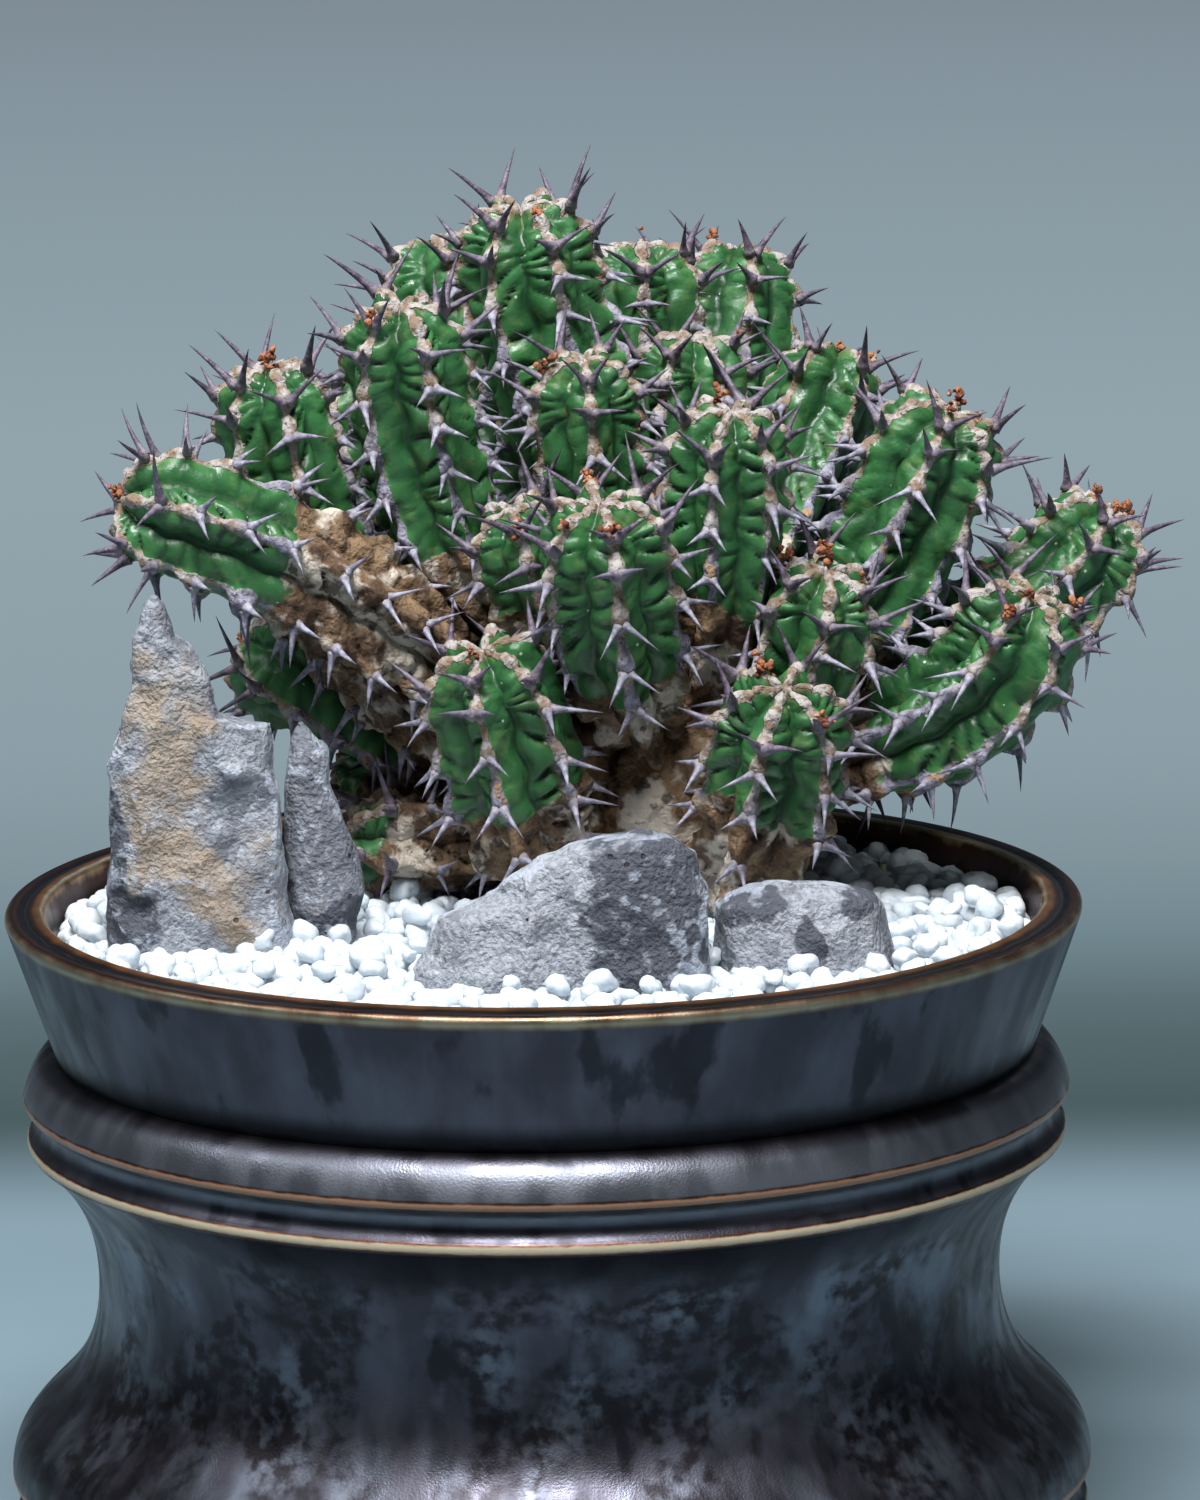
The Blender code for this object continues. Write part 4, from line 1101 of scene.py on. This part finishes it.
def growSpines(bases, ways, bends, lengths, thick, young):  # curved, tapering thorns
    count = len(bases)
    side = unit(np.cross(ways, bends + 1e-6))
    up = np.cross(side, ways)
    t = spineSteps[None, :, None]
    reach = lengths[:, None, None]
    spine = bases[:, None] + ways[:, None] * reach * t + bends[:, None] * reach * t * t
    taper = (1 - spineSteps) ** 0.8 * (1 + 0.55 * np.exp(-((spineSteps / 0.13) ** 2)))
    taper[-1] = 0.05
    turn = np.linspace(0, 2 * math.pi, spineSides, endpoint=False)
    ring = np.cos(turn)[None, :, None] * side[:, None] + np.sin(turn)[None, :, None] * up[:, None]
    radius = (thick[:, None] * taper[None])[..., None, None]
    points = spine[:, :, None] + ring[:, None] * radius
    points = points.reshape(count, -1, 3)
    rows = len(spineSteps)
    tips = (spine[:, -1] + ways * thick[:, None] * 0.15)[:, None]
    roots = spine[:, :1]
    points = np.concatenate([points, roots, tips], 1)
    each = rows * spineSides + 2
    quads, *caps = closedFaces(rows, spineSides)
    caps = np.concatenate(caps)
    shift = (np.arange(count) * each)[:, None, None]
    places = np.concatenate([np.repeat(spineSteps, spineSides), [0, 1]])
    return (points.reshape(-1, 3), (quads[None] + shift).reshape(-1, 4), (caps[None] + shift).reshape(-1, 3),
            np.tile(places, count), np.repeat(young, each))


def skinFinish():
    finish, tree, shader = newFinish("ribbed green skin", specular=0.45)
    litRidge, creaseShade, age = mask(tree, "fold"), mask(tree, "creaseShade"), mask(tree, "age")
    deep, leaf = (0.009, 0.050, 0.016), (0.027, 0.128, 0.038)
    base = tint(tree, use(tree, mottle, scale=120.0, low=0.3, high=0.7), deep, leaf)
    # painted highlight on the bulging folds, then painted shade in the creases and furrows
    base = tint(tree, litRidge, base, (0.058, 0.205, 0.058), 0.6)
    base = tint(tree, creaseShade, base, (0.007, 0.030, 0.010), 0.8)
    yellow = times(tree, use(tree, mottle, scale=330.0, seed=5.0, low=0.52, high=0.68, detail=5.0), 0.22)
    base = tint(tree, yellow, base, (0.22, 0.30, 0.10))
    dust = use(tree, specks, scale=700.0, size=0.2, share=0.05)
    base = tint(tree, dust, base, (0.62, 0.68, 0.60), 0.75)
    # cork along the crests and over the shields
    crest, shield = mask(tree, "crest"), mask(tree, "shield")
    rind = sums(tree, "MAXIMUM",
                use(tree, rubbed, edge=crest, scale=520.0, seed=1.0, rough=0.95, low=0.62, high=0.70),
                use(tree, rubbed, edge=shield, scale=700.0, seed=2.0, rough=0.4, low=0.44, high=0.52))
    young = use(tree, mottle, scale=500.0, seed=3.0)
    young = tint(tree, young, (0.23, 0.16, 0.11), (0.41, 0.375, 0.355))
    old = use(tree, mottle, scale=600.0, seed=4.0, low=0.4, high=0.62)
    old = tint(tree, old, (0.145, 0.135, 0.18), (0.33, 0.32, 0.40))
    rusty = use(tree, mottle, scale=260.0, seed=8.0, low=0.56, high=0.66)
    old = tint(tree, rusty, old, (0.42, 0.26, 0.14))
    cork = tint(tree, use(tree, rubbed, edge=age, scale=160.0, rough=0.9, low=0.25, high=0.75), young, old)
    spots = use(tree, specks, scale=1100.0, size=0.3, share=0.22)
    cork = tint(tree, spots, cork, (0.05, 0.035, 0.03), 0.75)
    halo = use(tree, rubbed, edge=crest, scale=500.0, seed=7.0, rough=0.5, low=0.5, high=0.68)
    base = tint(tree, halo, base, (0.20, 0.20, 0.09), 0.5)
    base = tint(tree, rind, base, cork)
    bark = use(tree, rubbed, edge=mask(tree, "bark"), scale=200.0, seed=6.0, rough=0.9, low=0.45, high=0.55)
    base = tint(tree, bark, base, barkColours(tree))
    dry = sums(tree, "MAXIMUM", rind, bark)
    rough = sums(tree, "ADD", step(tree, use(tree, mottle, scale=240.0, seed=2.0), 0.0, 1.0, 0.33, 0.48),
                 times(tree, dry, 0.38))
    pores = use(tree, mottle, scale=1700.0, low=0.3, high=0.7, detail=2.0)
    flakes = use(tree, mottle, scale=900.0, seed=3.0, low=0.35, high=0.65, detail=6.0)
    height = sums(tree, "ADD", times(tree, pores, 0.10), times(tree, flakes, dry))
    dress(tree, shader, base, rough, height, 0.00028)
    return finish


def spineFinish():
    finish, tree, shader = newFinish("horny spine", specular=0.4)
    place, young = mask(tree, "place"), mask(tree, "young")
    old = use(tree, mottle, scale=800.0, low=0.4, high=0.62, detail=4.0)
    old = tint(tree, old, (0.17, 0.16, 0.215), (0.36, 0.35, 0.43))
    fresh = use(tree, mottle, scale=700.0, seed=4.0)
    fresh = tint(tree, fresh, (0.07, 0.05, 0.075), (0.16, 0.13, 0.18))
    base = tint(tree, young, old, fresh)
    foot = step(tree, place, 0.0, 0.22, 0.45, 0.0)
    base = tint(tree, foot, base, (0.36, 0.31, 0.31))
    base = tint(tree, step(tree, place, 0.55, 1.0, 0.0, 0.8), base, (0.055, 0.042, 0.06))
    spots = use(tree, specks, scale=1300.0, size=0.26, share=0.14)
    base = tint(tree, spots, base, (0.05, 0.035, 0.035), 0.7)
    dress(tree, shader, base, 0.5, use(tree, mottle, scale=1400.0, low=0.3, high=0.7, detail=4.0), 0.00009)
    return finish


def crumbFinish():
    finish, tree, shader = newFinish("dried flower", specular=0.25)
    rust = use(tree, mottle, scale=520.0, low=0.42, high=0.6)
    base = tint(tree, rust, (0.15, 0.045, 0.022), (0.42, 0.17, 0.085))
    straw = use(tree, mottle, scale=420.0, seed=5.0, low=0.56, high=0.66)
    base = tint(tree, straw, base, (0.52, 0.36, 0.25))
    dress(tree, shader, base, 0.8, use(tree, mottle, scale=1500.0, low=0.3, high=0.7, detail=4.0), 0.0002)
    return finish


stemFinishes = [skinFinish(), spineFinish(), crumbFinish()]
paths = {name: stemPath(*course[:3]) for name, course in stems.items()}
axes = {}
for axisName, (_, _, _, axisGirth, _) in stems.items():
    stretch = lengthOf(paths[axisName])
    spots = np.linspace(stem["sunk"], stretch - 2, 70)
    thick = girthAt(spots, stretch, stem["radius"] * axisGirth)
    axes[axisName] = (along(paths[axisName], spots)[0], np.minimum(thick, stretch - spots))


def ringsOf(path, radius):  # rings up the body, then over the dome
    body = lengthOf(path) - stem["dome"] * radius
    places = np.arange(0, body, stem["ringStep"])
    centres, tangents = along(path, places)
    top, topTangent = along(path, np.array([body]))
    tipWay = unit(path[-1] - top[0])
    lean = np.linspace(0, math.radians(86), max(int(radius * 1.5 / stem["ringStep"]), 12))
    centres = np.concatenate([centres, np.repeat(top, len(lean), 0)])
    turning = smooth(0, 0.6, lean)[:, None]
    tangents = np.concatenate([tangents, unit(topTangent + (tipWay - topTangent) * turning)])
    lean = np.concatenate([np.zeros(len(places)), lean])
    distances = np.concatenate([places, np.full(len(lean) - len(places), body)])
    girths = girthAt(distances, lengthOf(path), radius)
    surface = np.concatenate([places, body + lean[len(places):] * girths[-1]])
    return body, centres, tangents, lean, girths, surface


def frameAlong(tangents):  # turns as little as it can
    sides = np.zeros((len(tangents), 3))
    side = unit(np.cross(tangents[0], (0.1, 0.2, 1)))
    for i, tangent in enumerate(tangents):
        side = unit(side - tangent * (side @ tangent))
        sides[i] = side
    return sides, np.cross(tangents, sides)


def thornsOf(name, shields, body, skin):  # two to a shield, shorter where another stem is near
    points, ways, radial, tangents, girths, surface, allowed, pinched = skin
    bases, aims, bends, lengths, thick, young = [], [], [], [], [], []
    otherAxes = np.concatenate([axes[o][0] for o in stems if o != name])
    otherGirths = np.concatenate([axes[o][1] for o in stems if o != name])
    for k, spots in enumerate(shields):
        column = k * stem["columns"] + stem["columns"] // 2
        for s in spots[:-2]:
            foot = s - stem["shieldLength"] * 0.45
            if foot < stem["sunk"] + 9:
                continue
            row = int(np.argmin(np.abs(surface - foot)))
            if pinched[row, column] and allowed[row, column] < girths[row] * 0.62:
                continue
            out = ways[row, column]
            up = np.cross(out, np.cross(tangents[row], out))
            sideways = unit(np.cross(tangents[row], radial[row, column]))
            fresh = float(1 - smooth(4, 15, body + girths[-1] * 1.1 - s))
            hang = -0.42 + 1.05 * fresh + dice.uniform(-0.15, 0.15)
            usual = stem["spineLength"] * (1 - fresh) + stem["tipSpineLength"] * fresh
            thornSize = usual * dice.uniform(0.75, 1.2)
            fork = dice.uniform(0.5, 0.85)
            for way in (-1, 1):
                aim = unit(out * 0.85 + sideways * way * fork + up * hang + dice.normal(0, 0.09, 3))
                root = points[row, column] - out * 0.45 + sideways * way * 0.45
                thornLength = thornSize * dice.uniform(0.85, 1.1)
                for share in (1, 0.8, 0.6, 0.42):
                    tip = root + aim * thornLength * share
                    clear = (np.linalg.norm(otherAxes - tip, axis=1) - otherGirths).min() > 0.2
                    if clear and tip[2] > gravelLevel + 1:
                        break
                bases.append(root)
                aims.append(aim)
                bends.append(unit(-up * 0.6 + sideways * way * 0.3) * dice.uniform(0.05, 0.16))
                lengths.append(thornLength * share)
                thick.append(stem["spineThickness"] * dice.uniform(0.85, 1.15) * (1 + 0.15 * fresh))
                young.append(fresh)
    return bases, aims, bends, lengths, thick, young


def driedFlowers(name, ribs, points, ways, tipRows):  # crumbs in small heaps near the tip
    crumbs = flowering.get(name, int(dice.integers(3, 9)))
    shape, faces = ball(2)
    heaps = max(1, crumbs // stem["crumbsToHeap"])
    heap = dice.integers(0, heaps, crumbs)
    row = len(points) - 1 - dice.integers(2, int(tipRows * 0.5), heaps)[heap]
    column = (dice.integers(0, ribs, heaps) * stem["columns"] + stem["columns"] // 2)[heap]
    spots = points[row, column] + ways[row, column] * dice.uniform(0, 1.5, (crumbs, 1))
    spots = spots + dice.normal(0, 0.55, (crumbs, 3))
    sizes = dice.uniform(*stem["crumbSizes"], crumbs)
    bumps = lumps(shape[None] * 1.3 + dice.uniform(0, 40, (crumbs, 1, 3)), 1.0, 2)[..., None]
    grown = shape[None] * (1 + 0.5 * bumps) * np.array((1, 0.75, 0.6))
    grown = np.einsum("nij,nkj->nki", spins(crumbs), grown) * sizes[:, None, None]
    allFaces = faces[None] + (np.arange(crumbs) * len(shape))[:, None, None]
    return (grown + spots[:, None]).reshape(-1, 3), allFaces.reshape(-1, 3)


def makeStem(name):
    _, _, _, girth, ribs = stems[name]
    path, radius = paths[name], stem["radius"] * girth
    length = lengthOf(path)
    others = np.concatenate([p[1:] for other, p in paths.items() if other != name])
    body, centres, tangents, lean, girths, surface = ringsOf(path, radius)
    sides, ups = frameAlong(tangents)
    rows = len(centres)

    # angles: a rib's columns crowd at its crest
    spread = np.linspace(-1, 1, stem["columns"] + 1)[:-1]
    across = np.sign(spread) * np.abs(spread) ** 1.25
    rib = np.repeat(np.arange(ribs), len(across))
    u = np.tile(across, ribs)[None]
    p = np.abs(u)
    columns = u.shape[1]
    twist = 0.10 * np.sin(surface / 23 + dice.uniform(0, 6))
    ribShares = dice.uniform(0.93, 1.05, ribs)

    # shields and folds
    start = dice.uniform(0, 1)
    highest = body + girths[-1] * 0.98
    shields = [shieldPlaces(highest - stem["pitch"] * (0.5 * (k % 2) + dice.uniform(0, 0.25)))
               for k in range(ribs)]
    count = np.stack([np.interp(surface, s, np.arange(len(s))) for s in shields], 1)  # rows x ribs
    hand = np.sign(u)
    drift = 0.45 * np.sin(count[:, rib] * 2.3 + rib[None] * 1.7 + hand * 1.1)
    drift = drift + 0.3 * np.sin(rib[None] * 5.3 + hand * 1.9)
    phase = 2 * (count[:, rib] - stem["foldSlant"] * p) + 2 * drift * p  # two folds to a shield
    nearest = np.round(phase)
    q = 2 * np.abs(phase - nearest)
    strength = np.sin(nearest * 12.9 + rib[None] * 7.7 + hand * 2.1 + start * 9)
    strength = np.clip(0.6 + 0.75 * strength, 0.12, 1.3)
    valley = 0.35 * p + 0.65 * p**3
    stretch = smooth(0.0, 0.22, p) * (1 - 0.85 * smooth(0.35, 1.0, p))
    slack = stem["foldDepth"] * strength * stretch * (0.3 * q**2 + 0.7 * q**8)
    between = phase * 1.37 + 0.8 * np.sin(phase * 0.9 + hand + rib[None])  # finer wrinkles
    wrinkle = (2 * np.abs(between - np.round(between))) ** 10
    wrinkle = wrinkle * smooth(0.15, 0.4, p) * (1 - smooth(0.6, 0.95, p))
    wrinkle = wrinkle * np.clip(np.sin(np.round(between) * 7.3 + rib[None] * 3.1 + hand), 0, 1)
    slack = slack + 0.05 * wrinkle
    dip = 0.09 * (0.5 - 0.5 * np.cos(2 * math.pi * count[:, rib])) * (1 - p) ** 2
    factor = ribShares[rib][None] * (1 - stem["valleyDepth"] * valley) - slack - dip
    meet = smooth(math.radians(52), math.radians(86), lean)[:, None]
    factor = factor * (1 - meet) + (0.80 - 0.06 * p) * meet
    away = p * math.pi / ribs * girths[:, None] * np.cos(lean)[:, None]  # from the crest's middle, mm
    closest = [np.clip(np.round(count[:, k]).astype(int), 0, len(s) - 1) for k, s in enumerate(shields)]
    nearShield = np.stack([surface - s[at] for s, at in zip(shields, closest)], 1)[:, rib]
    narrow = stem["shieldWidth"] * (1 - 0.28 * np.clip(nearShield / stem["shieldLength"], -1, 1))
    oval = np.hypot(nearShield / stem["shieldLength"], away / narrow)
    onShield = np.clip(1.5 - oval, 0, 1)
    crest = np.clip(1 - away / (1.7 + 0.9 * np.exp(-((nearShield / 3.2) ** 2))), 0, 1)
    old = smooth(6, 22, body + girths[-1] * 1.2 - surface)[:, None]
    raised = (0.55 + 0.5 * old) * smooth(0.35, 0.75, onShield) * (1 - 0.5 * nearShield / stem["shieldLength"])
    raised += 0.22 * smooth(0.62, 0.8, crest)

    # the furrow wanders from side to side as the folds of its two ribs meet it
    swing = 0.20 * np.cos(2 * math.pi * (count - stem["foldSlant"]))  # by the rib on the furrow's left
    wander = np.where(u > 0, swing[:, rib], swing[:, (rib - 1) % ribs]) * smooth(0.45, 1.0, p)
    angles = 2 * math.pi / ribs * (rib[None] + u / 2 + 0.25 * wander * (1 - meet)) + twist[:, None]
    radial = np.cos(angles)[..., None] * sides[:, None] + np.sin(angles)[..., None] * ups[:, None]
    upward = tangents[:, None] * (np.sin(lean) * stem["dome"])[:, None, None]
    ways = radial * np.cos(lean)[:, None, None] + upward
    size = np.linalg.norm(ways, axis=-1)
    ways = ways / size[..., None]
    reach = girths[:, None] * size * factor + raised
    rough = centres[:, None] + ways * reach[..., None]
    reach = reach + 0.035 * radius * lumps(rough, 8, 3) + 0.10 * lumps(rough, 1.6, 4)
    corkTop = corkReach.get(name, stem["usualCork"]) * (length - stem["sunk"]) + stem["sunk"]
    dry = (corkTop - surface[:, None]) / 8 + 0.5
    dry = dry + 0.35 * lumps(rough, 6, 9)
    reach = reach + np.clip(dry, 0, 1) * (0.55 * ridged(rough, 2.6, 6) + 0.22 * grit(rough, 1.1, 8) - 0.25)
    corky = smooth(0.55, 0.85, crest) + smooth(0.3, 0.6, onShield)
    reach = reach + np.clip(corky, 0, 1) * 0.14 * grit(rough, 0.8, 12, 2)
    scar = np.zeros_like(reach)
    for *spot, wide in scars.get(name, ()):
        nearest = rough.reshape(-1, 3)[np.linalg.norm(rough - np.array(spot), axis=-1).argmin()]
        apart = np.linalg.norm(rough - nearest, axis=-1)
        scar = np.maximum(scar, np.clip(1.5 - apart / wide, 0, 1))
    reach = reach + stem["scarHeight"] * smooth(0.3, 0.75, scar)
    allowed = room(np.repeat(centres, columns, 0), ways.reshape(-1, 3), others).reshape(rows, columns)
    pinched = reach > allowed
    reach = np.minimum(reach, allowed)
    points = centres[:, None] + ways * reach[..., None]
    points[..., 2] = np.maximum(points[..., 2], gravelLevel + 0.35)
    apex = centres[-1] + tangents[-1] * girths[-1] * stem["dome"] * 0.78
    flat = np.concatenate([points.reshape(-1, 3), centres[:1], apex[None]])
    faces = closedFaces(rows, columns)

    def spreadOut(values):
        values = np.broadcast_to(values, (rows, columns)).reshape(-1)
        return np.concatenate([values, [values[0], values[-1]]])

    # painted shade in the creases, fine wrinkles and furrows between ribs; the fold mask marks the bulges for
    # a painted highlight
    shadedCreases = 1.3 * smooth(0.74, 1, q) * strength * stretch + 0.6 * wrinkle + 0.8 * smooth(0.84, 1.0, p)
    masks = {
        "fold": spreadOut(np.clip((1 - q**2) * (1 - p) * 1.3, 0, 1)),
        "creaseShade": spreadOut(np.clip(shadedCreases, 0, 1)),
        "crest": spreadOut(np.where(pinched, crest * 0.8, crest)),
        "shield": spreadOut(np.maximum(onShield * (1 - meet), scar)),
        "age": spreadOut(smooth(8, 34, body + girths[-1] * 1.2 - surface)[:, None]),
        "bark": spreadOut(np.clip(dry, 0, 1)),
    }
    parts, kinds, which = [flat], faces, [np.zeros(sum(map(len, faces)), int)]

    skin = (points, ways, radial, tangents, girths, surface, allowed, pinched)
    thorns = thornsOf(name, shields, body, skin)
    total = len(flat)
    if thorns[0]:
        made = growSpines(*map(np.array, thorns))
        parts.append(made[0])
        kinds = kinds + [made[1] + total, made[2] + total]
        which.append(np.ones(len(made[1]) + len(made[2]), int))
        masks = {key: np.concatenate([v, np.zeros(len(made[0]))]) for key, v in masks.items()}
        masks["place"] = np.concatenate([np.zeros(total), made[3]])
        masks["young"] = np.concatenate([np.zeros(total), made[4]])
        total += len(made[0])

    crumbs, crumbFaces = driedFlowers(name, ribs, points, ways, (lean > 0).sum())
    parts.append(crumbs)
    kinds = kinds + [crumbFaces + total]
    which.append(np.full(len(crumbFaces), 2))
    masks = {key: np.concatenate([v, np.zeros(len(crumbs))]) for key, v in masks.items()}
    piece = newPiece("growth_" + name, np.concatenate(parts) * mm, kinds, stemFinishes, masks,
                     np.concatenate(which))
    settle(piece, "green_stem", "stem_" + name)
    return len(piece.data.polygons)


faceCount = sum(makeStem(name) for name in stems)
print("stems are grown,", faceCount, "faces")

# the soil and the screen keep their frame shape and only get a finish


def soilFinish():
    finish, tree, shader = newFinish("potting soil", specular=0.2)
    clods = use(tree, mottle, scale=260.0, low=0.35, high=0.65)
    base = tint(tree, clods, (0.030, 0.020, 0.014), (0.085, 0.058, 0.038))
    crumbs = use(tree, specks, scale=500.0, size=0.3, share=0.2)
    base = tint(tree, crumbs, base, (0.30, 0.27, 0.22))
    dress(tree, shader, base, 0.95, use(tree, mottle, scale=600.0, low=0.2, high=0.8, detail=6.0), 0.0012)
    return finish


def screenFinish():
    finish, tree, shader = newFinish("black plastic mesh", specular=0.4)
    parts = put(tree, "ShaderNodeSeparateXYZ", {0: position(tree)}).outputs
    waves = [sums(tree, "SINE", times(tree, parts[n], math.pi / mm), 0.0) for n in (0, 1)]
    weave = sums(tree, "MAXIMUM", *waves)
    base = tint(tree, step(tree, weave, 0.2, 0.6), (0.006, 0.006, 0.007), (0.032, 0.033, 0.035))
    dress(tree, shader, base, step(tree, use(tree, mottle, scale=300.0), 0.0, 1.0, 0.4, 0.6), weave, 0.0004)
    return finish


for nodeName, made in (("soil", soilFinish()), ("drain_screen", screenFinish())):
    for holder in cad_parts[nodeName].material_slots:
        holder.material = made
print("soil and screen are finished")
